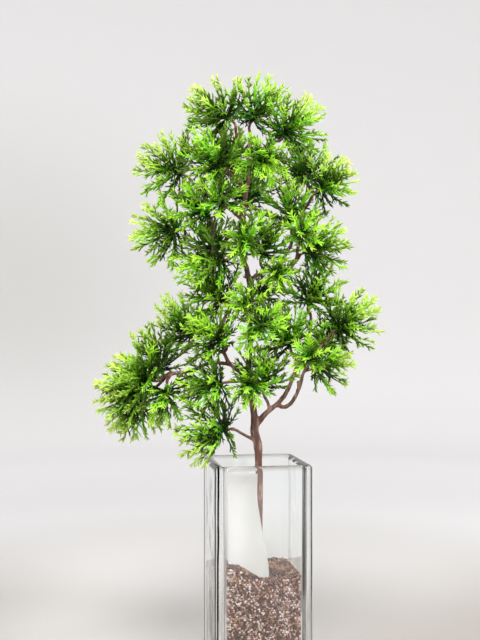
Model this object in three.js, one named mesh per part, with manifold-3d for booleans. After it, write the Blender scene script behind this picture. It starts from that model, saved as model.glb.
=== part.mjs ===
// A juniper branch of moulded plastic standing in gravel in a tall square glass vase.
// Millimetres, +Z up, origin at the middle of the vase's underside.

import * as THREE from 'three';
import { mergeGeometries, mergeVertices } from 'three/addons/utils/BufferGeometryUtils.js';
import Module from 'manifold-3d';

const wasm = await Module();
wasm.setup();

// Driving dimensions.
const CLEARANCE = 0.3; // gap between pieces that touch
const VASE = { width: 80, height: 200, base: 13, corner: 10, rim: 4, rimSegments: 3, foot: 1.5 };
const CAVITY = { mouth: 63.6, floor: 61.4, corner: 2.5, bevel: 1.5 }; // its width at rim and floor
const LIP = { radius: 3.6, slopes: 3 }; // rounding of the mouth's inner edge
const GRAVEL = {
  level: 112, cells: 11, grain: 1.5, mound: 8, moundAt: [-26, -24], moundRadius: 17,
  dip: 5.5, dipAt: [5, -31], dipRadius: 17, seed: 11,
};
const SLIP = {
  top: 192, bottom: 64, radius: 34, thickness: 1.8, left: -28, middle: [-9, -22], arc: [-138, -50],
};
const STEM = { foot: 20, boreRadius: 3.9 };
const TWIG = { root: 1.5, end: 1.3, straight: 4 };
const CORE = { length: 7, radius: 1.4, tip: 0.8, seat: 2, leader: 0.9, sides: 4 };
const HUB = { radius: 2.2 }; // the disc in the middle of each whorl
const SMALL_REACH = 26; // a spray that reaches no further has one whorl
const NEEDLE = { half: 0.85, thickness: 1.2, base: 0.06 };
const SPRAY_SEED = 1000;
const BEYOND = 10; // how far a cutting block runs on past the faces that it cuts
const ORIGIN = new THREE.Vector2(0, 0);
const UP = new THREE.Vector3(0, 0, 1);
const PLANT_TURN = THREE.MathUtils.degToRad(-10); // the branch against the vase's front face
const PLANT_SHIFT = 1.4; // how far right of the vase's middle the stem stands
const PLANT_PLACE = new THREE.Vector3(PLANT_SHIFT, 0, 0).applyAxisAngle(UP, PLANT_TURN);
const ARM_ABOVE_RIM = 1.5; // lowest needle over the vase's rim

// Places in the branch's own frame are [right, back, up] from the middle of the vase's underside.
const TRUNK = {
  path: [
    [0, 0, STEM.foot], [0, 0, 80], [0, 0, 140], [0, 0, 200], [-0.4, 0, 212], [-2, 0, 219],
    [-3.4, 0, 225], [-3, 0, 230], [-3.4, 0, 236], [-5, 1, 246], [-7.6, 2, 258], [-8, 2, 279],
    [-7, 1, 294], [-7, 0, 316], [-7, -1, 341], [-9.5, 0, 357], [-13.7, 0, 370], [-15.3, 0, 386],
    [-12.9, 0, 403], [-10.4, 0, 420], [-7.9, 0, 436], [-7.8, 0, 450],
  ],
  radii: [
    3, 3, 3.1, 3.1, 3.7, 3.5, 3.8, 3.6, 3, 2.8, 2.7, 2.6, 2.5, 2.4, 2.3, 2.3, 2.3, 2.1, 2, 1.9, 1.8, 1.6,
  ],
};

const LIMBS = [
  // right-hand limb up to the tuft at its end, and the limb that leaves it
  {
    path: [
      [-3, 0, 227], [1.2, -1, 233], [6.2, -2, 239], [11.2, -2, 243], [17, -1, 248], [22.8, 0, 255.5],
      [27, 1, 264], [30.3, 2, 273], [34.4, 3, 281], [39.4, 5, 291], [42.7, 7, 303.5], [43.6, 9, 314],
    ],
    radii: [2.6, 2.5, 2.3, 2.1, 2, 1.9, 1.8, 1.7, 1.7, 1.6, 1.5, 1.4],
  },
  {
    path: [[15, -1.5, 246.5], [20.3, -1, 243.9], [25.3, 0, 245.6], [29.4, 0, 250.6], [32.7, 1, 257],
      [35.2, 1, 264], [37.4, 2, 272], [41, 3, 277]],
    radii: [1.9, 1.8, 1.8, 1.8, 1.7, 1.6, 1.5, 1.5],
  },
  // short dead stub on that limb
  { path: [[33.6, 1, 258], [32.9, 0.5, 262], [32.4, 0, 266]], radii: [1.4, 1.2, 1.1] },
  // left-hand limb at mid height, out to the lowest left tufts
  {
    path: [
      [-8, 2, 266], [-11, 0, 269], [-15.3, -3, 273], [-21, -5, 277.5], [-25, -7, 282], [-28.6, -10, 290],
    ],
    radii: [2.1, 2, 1.9, 1.8, 1.7, 1.6],
  },
  {
    path: [[-22.5, -5.5, 279], [-30.3, -5, 280.5], [-37.7, -4, 281], [-43.5, -3, 279.5], [-52.6, -2, 275],
      [-65, -1, 272.3], [-75, -1, 271.5]],
    radii: [1.7, 1.7, 1.6, 1.6, 1.6, 1.7, 1.8],
  },
  // limb of the left tuft in the upper middle
  {
    path: [
      [-14.6, 0, 373], [-21, 1, 370], [-28, 1, 370.5], [-38.5, 1, 372], [-48.5, 2, 375], [-56, 2, 377.5],
    ],
    radii: [1.9, 1.9, 1.8, 1.8, 1.8, 1.8],
  },
  // limb of the right tufts in the upper middle
  {
    path: [
      [-7, -1, 345], [-3, -1, 352], [4.6, -1, 356], [13.7, -1, 358.7],
      [17.8, 0, 363.7], [24.5, 2, 373.6], [27.8, 4, 381], [27.6, 5, 389],
    ],
    radii: [1.9, 1.8, 1.8, 1.7, 1.6, 1.5, 1.5, 1.5],
  },
  {
    path: [[12.5, -1, 358.4], [20, -3, 356.5], [25, -4, 357.5], [29, -5, 362.5]],
    radii: [1.6, 1.5, 1.5, 1.5],
  },
  // limb of the upper left tufts
  { path: [[-13.5, 0, 399], [-22, 2, 407], [-32, 4, 414], [-42.6, 6, 420]], radii: [1.8, 1.7, 1.7, 1.6] },
  { path: [[-10, 0, 423], [-16, -6, 429], [-22, -12, 434]], radii: [1.6, 1.5, 1.4] },
  // right-hand end of the trunk's top fork
  { path: [[-7.9, 0, 447], [-2, -1, 453.5], [6, -3, 459]], radii: [1.5, 1.4, 1.4] },
];

// Each spray: its name, the places that its twig passes, its seat at the twig's end, the way it points
// (degrees from right towards up, then degrees towards the viewer), and the reach of its arms.
const SPRAYS = [
  ['crown_left', [[-7.9, 0, 448], [-14, -3, 459], [-18.5, -5, 470]], [-25, -8, 481], 140, 0, 37],
  ['crown_top', [[-7.8, 0, 449], [-7.8, 2, 460], [-7, 4, 471]], [-5, 6, 483], 75, 0, 37],
  ['crown_right', [[5, -2.8, 458.5], [13, -3.5, 463.5]], [21, -4, 468], 35, 0, 38],
  ['crown_front', [[-8, 0, 440], [-3, -12, 444]], [2, -26, 446], 270, 65, 27],
  ['shoulder_left', [[-21, -11, 433.5]], [-31, -22, 439], 140, 25, 36],
  ['shoulder_back', [[-17, -6, 429.5], [-22, 4, 437]], [-26, 16, 447], 95, -30, 33],
  ['upper_left', [[-41, 6, 419.5], [-52, 7, 427]], [-65, 8, 438], 165, 0, 38],
  ['upper_left_front', [[-24, 2, 408.5], [-27, -12, 408]], [-30, -28, 410], 85, 50, 24],
  ['upper_back', [[-13, 0, 402], [-12, 9, 409]], [-9, 22, 418], 95, -35, 34],
  ['upper_right', [[27.7, 4, 386], [33, 10, 398], [37, 12, 414]], [40, 12, 434], 105, -10, 35],
  ['upper_right_out', [[34, 10.5, 403], [41, 2, 412]], [51, -10, 424], 25, 0, 35],
  ['left_high', [[-37, 1, 372], [-38, -5, 388]], [-43, -14, 402], 150, 10, 32],
  ['left_out', [[-55, 2, 377.3], [-61, 2, 382]], [-68, 2, 390], 175, 0, 38],
  ['left_back', [[-36, 1, 371.7], [-36.5, 9, 373]], [-37, 20, 375], 105, -30, 31],
  ['left_in', [[-20, 1, 370], [-24, -3, 367.5]], [-30, -6, 365], 190, 0, 40],
  ['trunk_front_high', [[-15, 0, 380], [-13, -13, 380]], [-11, -26, 380], 200, 65, 19],
  ['middle_high', [[4.6, -1, 356]], [3, -8, 370], 76, 10, 34],
  ['right_high', [[27.7, 4.8, 388], [27.5, 5.5, 392]], [27, 6, 399], 90, 0, 35],
  ['right_out', [[28.5, -5, 361.8], [33, -6.5, 367.5]], [40, -8, 372], 8, 0, 35],
  ['right_front', [[31, -5.6, 365.5], [32, -16, 376]], [34, -28, 385], 60, 65, 18],
  ['middle_right_front', [[13, -1, 358.5], [13.5, -13, 356.5]], [14, -26, 355], 300, 60, 16],
  ['right_middle', [[43.4, 8.6, 312], [43.6, 9.5, 321]], [43, 10, 330], 85, 0, 37],
  ['right_far', [[40, 3, 276], [48, 0, 291], [56, -2, 298]], [65, -4, 309], 45, 0, 39],
  ['right_low', [[38.5, 2.3, 274]], [46, 4, 276], 8, 0, 37],
  ['right_low_front', [[38, 2.2, 273.5], [39.5, -12, 281]], [41, -26, 286], 120, 60, 18],
  ['right_low_back', [[48, 0, 291], [51.5, 8, 292.5]], [54, 16, 295], 80, -20, 24],
  ['middle_right', [[32.5, 2.5, 278], [29.5, 4, 285]], [26, 6, 294], 112, 0, 37],
  ['middle_back', [[-7, -1, 333], [-4, 8, 336]], [0, 18, 339], 10, -35, 25],
  ['trunk_front', [[-7, -0.5, 326], [-8, -13, 328]], [-9, -26, 329], 150, 60, 19],
  ['trunk_front_low', [[-7, 0.5, 303], [-3, -13, 307]], [2, -28, 311], 80, 50, 23],
  ['left_middle', [[-28.5, -10, 290], [-30, -9, 303], [-28.5, -6, 316]], [-29, -4, 332], 135, 0, 35],
  ['left_middle_out', [[-28, -9.7, 289], [-38.5, -3, 292.8], [-48.5, 4, 295.5]], [-57, 10, 303], 122, -5, 35],
  ['left_middle_front', [[-28.5, -10, 289.5]], [-31, -18, 298], 140, 15, 32],
  ['left_low_up', [[-74.5, -1, 271.5], [-77, 5, 268]], [-81, 10, 274], 115, 0, 38],
  ['left_low_front', [[-74, -1, 271.5], [-80, -7, 268.5]], [-89, -12, 268], 160, 15, 33],
  ['left_end', [[-74.5, -1, 271.4], [-83, -2, 262], [-90, -2, 256]], [-98, -2, 255], 178, 0, 36],
  ['left_end_down', [[-84, -2, 261], [-91, 7, 257]], [-101, 14, 247], 235, -10, 33],
  ['left_low_down', [[-72, -1, 271.6], [-75, -10, 266]], [-76, -16, 258], 258, 15, 27],
  ['low_left', [[-7.9, 2, 266], [-15.3, -3, 265.3]], [-31, -8, 264], 190, 0, 35],
  ['low_middle', [[8.9, -2, 241], [8, -4, 247]], [4, -8, 261], 92, 5, 32],
  ['low_front', [[-7.6, 2, 258], [-7.2, -13, 262]], [-7, -30, 265], 250, 45, 18],
  ['lowest_left', [[-2, 0, 215], [-7, -2, 218.5], [-12.8, -4, 221.8]], [-28, -6, 225], 192, 0, 40],
].map(([name, twig, seat, angle, toward, reach]) => (
  { name, twig, seat, angle, toward, reach, isFull: reach > SMALL_REACH }
));

// Materials.
const MATERIALS = {
  glass: { color: 0xe6eeee, roughness: 0.04, metalness: 0, transparent: true, opacity: 0.35 },
  gravel: { color: 0x8a6a5c, roughness: 0.85, metalness: 0 },
  slip: { color: 0xf2f2ef, roughness: 0.5, metalness: 0 },
  stem: { color: 0x6b4a40, roughness: 0.45, metalness: 0 },
  foliage: { color: 0x3c9414, roughness: 0.4, metalness: 0 },
};

// Turns a closed three.js geometry into a solid that can be joined and cut.
function toSolid(geometry) {
  const bare = geometry.clone();
  bare.deleteAttribute('normal');
  bare.deleteAttribute('uv');
  const merged = mergeVertices(bare, 1e-4);
  const index = merged.index.array;
  const triangles = [];
  for (let i = 0; i < index.length; i += 3) {
    const [a, b, c] = [index[i], index[i + 1], index[i + 2]];
    if (a !== b && b !== c && c !== a) triangles.push(a, b, c);
  }
  return new wasm.Manifold(new wasm.Mesh({
    numProp: 3,
    vertProperties: Float32Array.from(merged.attributes.position.array),
    triVerts: Uint32Array.from(triangles),
  }));
}

function join(solids) {
  return solids.reduce((whole, next) => whole.add(next));
}

// Keeps the largest body: seals any pocket that joining closed, and drops loose scraps.
function mainBody(solid) {
  return solid.decompose().reduce((best, body) => (body.volume() > best.volume() ? body : best));
}

function toMesh(name, solid, finish) {
  const shape = solid.getMesh();
  const geometry = new THREE.BufferGeometry();
  geometry.setAttribute('position', new THREE.BufferAttribute(shape.vertProperties, 3));
  geometry.setIndex(new THREE.BufferAttribute(shape.triVerts, 1));
  geometry.computeVertexNormals();
  const mesh = new THREE.Mesh(geometry, new THREE.MeshStandardMaterial(finish));
  mesh.name = name;
  return mesh;
}

// A seeded draw, so that every build gives the same plant.
function seededDraw(seed) {
  let state = seed >>> 0;
  return () => {
    state = (state + 0x6d2b79f5) >>> 0;
    let mixed = Math.imul(state ^ (state >>> 15), state | 1);
    mixed = (mixed + Math.imul(mixed ^ (mixed >>> 7), mixed | 61)) ^ mixed;
    return ((mixed ^ (mixed >>> 14)) >>> 0) / 4294967296;
  };
}

function vector([x, y, z]) {
  return new THREE.Vector3(x, y, z);
}

function squareOutline(width, radius, steps = 5) {
  const half = width / 2;
  const reach = half - radius;
  const outline = new THREE.Shape();
  [[1, 1], [-1, 1], [-1, -1], [1, -1]].forEach(([sx, sy], corner) => {
    const start = (corner * Math.PI) / 2;
    for (let i = 0; i <= steps; i += 1) {
      const turn = start + (i / steps) * (Math.PI / 2);
      const x = sx * reach + radius * Math.cos(turn);
      const y = sy * reach + radius * Math.sin(turn);
      if (corner === 0 && i === 0) outline.moveTo(x, y);
      else outline.lineTo(x, y);
    }
  });
  return outline;
}

// A block with the square outline, from one height to another, its rims bevelled.
function squareBlock(width, radius, low, high, bevel, bevelSegments = 2) {
  const geometry = new THREE.ExtrudeGeometry(squareOutline(width - 2 * bevel, radius - bevel), {
    depth: high - low - 2 * bevel,
    steps: 1,
    bevelThickness: bevel,
    bevelSize: bevel,
    bevelSegments,
  });
  geometry.translate(0, 0, low + bevel);
  return geometry;
}

// The vase's cavity, which narrows towards its floor, up to a height and drawn in on all sides by a gap.
function cavityBlock(top, gap) {
  const { mouth, floor, corner, bevel } = CAVITY;
  const geometry = squareBlock(mouth, corner, VASE.base + gap, top, bevel);
  const places = geometry.attributes.position;
  for (let i = 0; i < places.count; i += 1) {
    const rise = (places.getZ(i) - VASE.base) / (VASE.height - VASE.base);
    const scale = (THREE.MathUtils.lerp(floor, mouth, rise) - 2 * gap) / mouth;
    places.setX(i, places.getX(i) * scale);
    places.setY(i, places.getY(i) * scale);
  }
  return geometry;
}

// How far out and how high the rounding of the mouth's inner edge is at each of its corners.
function lipCorner(i) {
  const turn = ((i / LIP.slopes) * Math.PI) / 2;
  return {
    out: LIP.radius * (1 - Math.cos(turn)),
    high: VASE.height + LIP.radius * (Math.sin(turn) - 1),
  };
}

// The blocks that widen the mouth to its rounded inner edge, each with one slope round its lower end.
function mouthBlocks() {
  return Array.from({ length: LIP.slopes }, (_, i) => {
    const [from, to] = [lipCorner(i), lipCorner(i + 1)];
    const rise = to.high - from.high;
    const outline = squareOutline(CAVITY.mouth + 2 * from.out, CAVITY.corner + from.out);
    const block = new THREE.ExtrudeGeometry(outline, {
      depth: VASE.height + BEYOND - to.high,
      steps: 1,
      bevelThickness: rise,
      bevelSize: to.out - from.out,
      bevelSegments: 1,
    });
    return toSolid(block.translate(0, 0, to.high));
  });
}

// The vase: a round-cornered block with rounded edges, hollowed down to its thick base.
function makeVase() {
  const { width, height, corner, rim, rimSegments, foot } = VASE;
  const upper = toSolid(squareBlock(width, corner, -BEYOND, height, rim, rimSegments));
  const lower = toSolid(squareBlock(width, corner, 0, height + BEYOND, foot));
  const cavity = toSolid(cavityBlock(height + BEYOND, 0));
  return upper.intersect(lower).subtract(join([cavity, ...mouthBlocks()]));
}

// How much of a soft mound or dip is left at a distance from its middle: from 1 down to 0.
function swell([middleX, middleY], radius, x, y) {
  return Math.exp(-((x - middleX) ** 2 + (y - middleY) ** 2) / radius ** 2);
}

// Height of the gravel's top at a place: a mound at the front left corner, a dip in front of the slip's
// right-hand edge, and coarse grains all over.
function gravelHeight(x, y, draw) {
  const { level, mound, moundAt, moundRadius, dip, dipAt, dipRadius, grain } = GRAVEL;
  const mounded = level + mound * swell(moundAt, moundRadius, x, y);
  return mounded - dip * swell(dipAt, dipRadius, x, y) + grain * (2 * draw() - 1);
}

// The gravel fills the cavity up to its uneven top, round the holes that the stem and the slip stand in.
function makeGravel(slipCutter) {
  const { cells, seed, level, mound } = GRAVEL;
  const box = new THREE.BoxGeometry(CAVITY.mouth, CAVITY.mouth, VASE.height, cells, cells, 1);
  box.deleteAttribute('normal');
  box.deleteAttribute('uv');
  const bed = mergeVertices(box, 1e-4);
  const places = bed.attributes.position;
  const draw = seededDraw(seed);
  for (let i = 0; i < places.count; i += 1) {
    const isTop = places.getZ(i) > 0;
    places.setZ(i, isTop ? gravelHeight(places.getX(i), places.getY(i), draw) : 0);
  }
  const block = toSolid(cavityBlock(level + mound + BEYOND, CLEARANCE));
  const bore = new THREE.CylinderGeometry(STEM.boreRadius, STEM.boreRadius, VASE.height, 8);
  bore.rotateX(Math.PI / 2);
  bore.translate(PLANT_PLACE.x, PLANT_PLACE.y, STEM.foot - CLEARANCE + VASE.height / 2);
  return mainBody(block.intersect(toSolid(bed)).subtract(toSolid(bore)).subtract(slipCutter));
}

// The slip's right-hand edge: upright at the top, then sweeping out towards the gravel.
function slipEdge() {
  return new THREE.CatmullRomCurve3([
    [-1.5, 0, SLIP.top], [-2, 0, 174], [-0.8, 0, 164], [1.8, 0, 149],
    [5.2, 0, 133], [7.6, 0, 116], [8.2, 0, 96], [8.2, 0, SLIP.bottom],
  ].map(vector));
}

// A curved sheet, bulging towards the viewer, and the block that cuts it to its outline.
function slipShapes(grow) {
  const { top, bottom, radius, thickness, left, middle, arc } = SLIP;
  const [centreX, frontY] = middle;
  const sheet = new THREE.Shape();
  const [from, to] = arc.map(THREE.MathUtils.degToRad);
  sheet.absarc(0, 0, radius + grow, from, to, false);
  sheet.absarc(0, 0, radius - thickness - grow, to, from, true);
  const wall = new THREE.ExtrudeGeometry(sheet, {
    depth: top - bottom + 2 * grow, bevelEnabled: false, curveSegments: 8,
  });
  wall.translate(centreX, frontY + radius, bottom - grow);
  const outline = new THREE.Shape();
  outline.moveTo(left - grow, bottom - grow);
  const edge = slipEdge().getPoints(9).reverse();
  outline.lineTo(edge[0].x + grow, bottom - grow);
  edge.forEach((point) => outline.lineTo(point.x + grow, point.z));
  outline.lineTo(edge.at(-1).x + grow, top + grow);
  outline.lineTo(left - grow, top + grow);
  const cutter = new THREE.ExtrudeGeometry(outline, { depth: VASE.width, bevelEnabled: false });
  cutter.rotateX(Math.PI / 2);
  cutter.translate(0, VASE.width / 2, 0);
  return [wall, cutter];
}

// The slip, turned and placed; grown on all sides it is the shape of its slot.
function makeSlip(grow, turn, place) {
  const [wall, cutter] = slipShapes(grow)
    .map((geometry) => toSolid(geometry.rotateZ(turn).translate(place.x, place.y, place.z)));
  return wall.intersect(cutter);
}

// A closed rod through a path's points, with a radius at each; an end of no radius is a point.
function rod(points, radii, sides) {
  const profile = [new THREE.Vector2(0, 0), ...radii.map((radius, i) => new THREE.Vector2(radius, i))];
  if (radii.at(-1) > 0) profile.push(new THREE.Vector2(0, radii.length - 1));
  const geometry = new THREE.LatheGeometry(profile, sides);
  const rings = ringFrames(points);
  const places = geometry.attributes.position;
  const place = new THREE.Vector3();
  for (let i = 0; i < places.count; i += 1) {
    const ring = rings[Math.round(places.getY(i))];
    place.copy(ring.centre).addScaledVector(ring.across, places.getX(i));
    place.addScaledVector(ring.other, places.getZ(i));
    places.setXYZ(i, place.x, place.y, place.z);
  }
  return geometry;
}

// Where each ring of a rod stands, and two directions across it that turn as little as the path allows.
function ringFrames(points) {
  let across = new THREE.Vector3(0, 1, 0);
  return points.map((centre, i) => {
    const before = points[Math.max(i - 1, 0)];
    const after = points[Math.min(i + 1, points.length - 1)];
    const tangent = after.clone().sub(before).normalize();
    if (Math.abs(tangent.dot(across)) > 0.95) across = new THREE.Vector3(1, 0, 0);
    across = across.clone().addScaledVector(tangent, -tangent.dot(across)).normalize();
    return { centre, across, other: new THREE.Vector3().crossVectors(across, tangent) };
  });
}

function limbRod({ path, radii }, sides) {
  return rod(path.map(vector), radii, sides);
}

// The way a spray points.
function sprayAxis({ angle, toward }) {
  const turn = THREE.MathUtils.degToRad(angle);
  const lift = THREE.MathUtils.degToRad(toward);
  return new THREE.Vector3(
    Math.cos(turn) * Math.cos(lift),
    -Math.sin(lift),
    Math.sin(turn) * Math.cos(lift),
  );
}

// The twig that ends just short of a spray's core.
function twigOf(spray) {
  const axis = sprayAxis(spray);
  const end = vector(spray.seat).addScaledVector(axis, -CORE.seat - CLEARANCE);
  const near = end.clone().addScaledVector(axis, -TWIG.straight);
  const path = [...spray.twig, near.toArray(), end.toArray()];
  const radii = path.map((_, i) => THREE.MathUtils.lerp(TWIG.root, TWIG.end, i / (path.length - 1)));
  return { path, radii };
}

function makeStem() {
  const trunk = toSolid(limbRod(TRUNK, 6));
  const limbs = LIMBS.map((limb) => toSolid(limbRod(limb, 5)));
  const twigs = SPRAYS.map((spray) => toSolid(limbRod(twigOf(spray), 4)));
  return mainBody(join([trunk, ...limbs, ...twigs]));
}

// Smallest distance between two straight pieces, each from a to b.
function gapBetween(one, two) {
  const d1 = one.b.clone().sub(one.a);
  const d2 = two.b.clone().sub(two.a);
  const r = one.a.clone().sub(two.a);
  const a = d1.dot(d1);
  const e = d2.dot(d2);
  const f = d2.dot(r);
  const c = d1.dot(r);
  const b = d1.dot(d2);
  const spread = a * e - b * b;
  let s = spread > 1e-9 ? THREE.MathUtils.clamp((b * f - c * e) / spread, 0, 1) : 0;
  let t = (b * s + f) / e;
  if (t < 0) {
    t = 0;
    s = THREE.MathUtils.clamp(-c / a, 0, 1);
  } else if (t > 1) {
    t = 1;
    s = THREE.MathUtils.clamp((b - c) / a, 0, 1);
  }
  const near = one.a.clone().addScaledVector(d1, s);
  return near.distanceTo(two.a.clone().addScaledVector(d2, t)) - one.radius - two.radius;
}

function piece(a, b, radius) {
  return { a, b, radius, middle: a.clone().add(b).multiplyScalar(0.5), half: a.distanceTo(b) / 2 + radius };
}

function isClear(pieces, taken) {
  const floor = VASE.height + ARM_ABOVE_RIM;
  return pieces.every((one) => {
    if (Math.min(one.a.z, one.b.z) - one.radius < floor) return false;
    return taken.every((two) => {
      if (one.middle.distanceTo(two.middle) > one.half + two.half + CLEARANCE) return true;
      return gapBetween(one, two) > CLEARANCE;
    });
  });
}

// Straight pieces that stand for a limb when needles are tested against it.
function limbPieces({ path, radii }) {
  const points = path.map(vector);
  return points.slice(1).map((point, i) => piece(points[i], point, Math.max(radii[i], radii[i + 1])));
}

// The whorls of arms: how many, how far from the axis they lean, where they leave the core, their length.
const WHORLS = {
  full: [
    { arms: 6, lean: 84, start: 0, length: 0.94 },
    { arms: 4, lean: 46, start: 2.6, length: 1 },
  ],
  small: [{ arms: 6, lean: 76, start: 0, length: 1 }],
};
const CURL = 12; // degrees by which an arm bends back towards the axis
const PRONGS = [{ share: 0.5, length: 0.3 }, { share: 0.74, length: 0.27 }];
const PRONG_ANGLE = THREE.MathUtils.degToRad(42);

// Two directions across the axis.
function crossFrame(axis) {
  const up = Math.abs(axis.z) < 0.9 ? new THREE.Vector3(0, 0, 1) : new THREE.Vector3(1, 0, 0);
  const side = new THREE.Vector3().crossVectors(axis, up).normalize();
  return [side, new THREE.Vector3().crossVectors(axis, side)];
}

// The directions of an arm: out from the axis, around it, and the way at a lean from it.
function armDirections(axis, turn) {
  const [first, second] = crossFrame(axis);
  const out = first.clone().multiplyScalar(Math.cos(turn)).addScaledVector(second, Math.sin(turn));
  const way = (degrees) => {
    const radians = THREE.MathUtils.degToRad(degrees);
    return axis.clone().multiplyScalar(Math.cos(radians)).addScaledVector(out, Math.sin(radians));
  };
  return { out, around: new THREE.Vector3().crossVectors(axis, out), way };
}

// One arm: a bent stalk with side prongs on alternate sides, the first on the side that hand gives.
function layArm(seat, axis, wanted) {
  const { lean, turn, start, length, hand } = wanted;
  const { around, way } = armDirections(axis, turn);
  const root = seat.clone().addScaledVector(axis, start);
  const knee = root.clone().addScaledVector(way(lean), length * 0.5);
  const tip = root.clone().addScaledVector(way(lean - CURL), length);
  const curve = new THREE.QuadraticBezierCurve3(root, knee, tip);
  const at = (along, across, lift) => {
    const share = Math.min(along / length, 1);
    const up = new THREE.Vector3().crossVectors(curve.getTangentAt(share), around);
    return curve.getPointAt(share).addScaledVector(around, across).addScaledVector(up, lift);
  };
  const prongs = PRONGS.map(({ share, length: part }, i) => {
    const side = (i % 2 ? -1 : 1) * hand;
    const tip = [share + part * Math.cos(PRONG_ANGLE), side * part * Math.sin(PRONG_ANGLE)];
    return { along: share * length, tip };
  });
  return { ...wanted, at, prongs };
}

function armPieces({ at, prongs, length }) {
  const [root, knee, tip] = [0.12, 0.5, 1].map((share) => at(share * length, 0, 0));
  const stalk = [piece(root, knee, NEEDLE.half), piece(knee, tip, NEEDLE.half * 0.85)];
  const sides = prongs.map((prong) => {
    const end = at(prong.tip[0] * length, prong.tip[1] * length, 0);
    return piece(at(prong.along, 0, 0), end, NEEDLE.half * 0.8);
  });
  return [...stalk, ...sides];
}

// The corners of one arm's outline, laid flat: along the arm, across it, and whether it is a pointed tip.
function armCorners({ length, hand }) {
  const { half, base } = NEEDLE;
  const [near, far] = PRONGS.map(({ share, length: part }) => ({
    before: (share - base) * length,
    after: (share + base) * length,
    tip: [(share + part * Math.cos(PRONG_ANGLE)) * length, part * Math.sin(PRONG_ANGLE) * length],
  }));
  const corners = [
    [far.before, -half * 0.8, false], [far.tip[0], -far.tip[1], true], [far.after, -half * 0.7, false],
    [length, 0, true],
    [near.after, half * 0.8, false], [...near.tip, true], [near.before, half * 0.9, false],
  ];
  return hand > 0 ? corners : corners.map(([x, y, isTip]) => [x, -y, isTip]).reverse();
}

// A corner of the ring at a radius from the axis, as it lies flat and on both faces of the whorl.
function hubCorner(seat, axis, start, turn, radius, lean) {
  const { around, way } = armDirections(axis, turn);
  const up = new THREE.Vector3().crossVectors(way(lean), around);
  const at = seat.clone().addScaledVector(axis, start).addScaledVector(way(lean), radius);
  return {
    flat: new THREE.Vector2(radius, 0).rotateAround(ORIGIN, turn),
    lower: at.clone().addScaledVector(up, -NEEDLE.thickness / 2),
    upper: at.clone().addScaledVector(up, NEEDLE.thickness / 2),
  };
}

function coreRing(place) {
  return Array.from({ length: CORE.sides }, (_, i) => place((i * 2 * Math.PI) / CORE.sides));
}

// The corners of a whorl: those of its arms, with one on the hub's disc between each two arms.
function whorlCorners(seat, axis, arms) {
  return arms.flatMap((arm, i) => {
    const next = arms[(i + 1) % arms.length];
    const step = (next.turn - arm.turn + 4 * Math.PI) % (2 * Math.PI);
    const onArm = armCorners(arm).map(([along, across, isTip]) => {
      const half = isTip ? 0 : (NEEDLE.thickness / 2) * (1 - 0.25 * (along / arm.length));
      return {
        flat: new THREE.Vector2(along, across).rotateAround(ORIGIN, arm.turn),
        lower: arm.at(along, across, -half),
        upper: arm.at(along, across, half),
      };
    });
    const lean = (arm.lean + next.lean) / 2;
    return [...onArm, hubCorner(seat, axis, arm.start, arm.turn + step / 2, HUB.radius, lean)];
  });
}

// A whorl of arms: a star's outline round the core, with a thickness that runs out at the tips, bent up
// so that each arm follows its own curve. It is open at the core, where the rings low and high end it.
function whorlShell(seat, axis, arms) {
  const corners = whorlCorners(seat, axis, arms);
  const hole = coreRing((turn) => hubCorner(seat, axis, arms[0].start, turn, CORE.radius, arms[0].lean));
  const star = new THREE.Shape(corners.map(({ flat }) => flat));
  star.holes.push(new THREE.Path(hole.map(({ flat }) => flat)));
  const shell = new THREE.ExtrudeGeometry(star, { depth: 1, bevelEnabled: false });
  const known = [...hole, ...corners];
  const places = shell.attributes.position;
  const flat = new THREE.Vector2();
  const kept = [];
  for (let i = 0; i < places.count; i += 3) {
    const owners = [0, 1, 2].map((k) => {
      flat.set(places.getX(i + k), places.getY(i + k));
      return known.findIndex((one) => one.flat.distanceTo(flat) < 1e-4);
    });
    if (owners.every((owner) => owner < hole.length)) continue;
    owners.forEach((owner, k) => {
      const { upper, lower } = known[owner];
      kept.push(places.getZ(i + k) > 0.5 ? upper : lower);
    });
  }
  return {
    shell: new THREE.BufferGeometry().setFromPoints(kept),
    low: hole.map(({ lower }) => lower),
    high: hole.map(({ upper }) => upper),
  };
}

// The wall between two rings of the core; a ring whose corners are one point closes it.
function sleeve(low, high) {
  const wall = new THREE.CylinderGeometry(1, 1, 1, CORE.sides, 1, true).toNonIndexed();
  const places = wall.attributes.position;
  const points = Array.from({ length: places.count }, (_, i) => {
    const turn = Math.atan2(places.getX(i), places.getZ(i)) / (2 * Math.PI) + 1;
    const corner = Math.round(turn * CORE.sides) % CORE.sides;
    return places.getY(i) > 0 ? high[corner] : low[corner];
  });
  return new THREE.BufferGeometry().setFromPoints(points);
}

// Other places that an arm may take when its own is not clear.
const DODGES = [
  [0, 0], [9, 0], [-9, 0], [0, -12], [0, 12], [18, 0], [-18, 0], [9, -12], [-9, -12], [27, 6], [-27, 6],
];
const TRIMS = [1, 0.85, 0.7];

function placeArm(seat, axis, wanted, taken) {
  for (const trim of TRIMS) {
    for (const [turnBy, leanBy] of DODGES) {
      const arm = layArm(seat, axis, {
        ...wanted,
        turn: wanted.turn + THREE.MathUtils.degToRad(turnBy),
        lean: wanted.lean + leanBy,
        length: wanted.length * trim,
      });
      if (isClear(armPieces(arm), taken)) return arm;
    }
  }
  return null;
}

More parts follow.
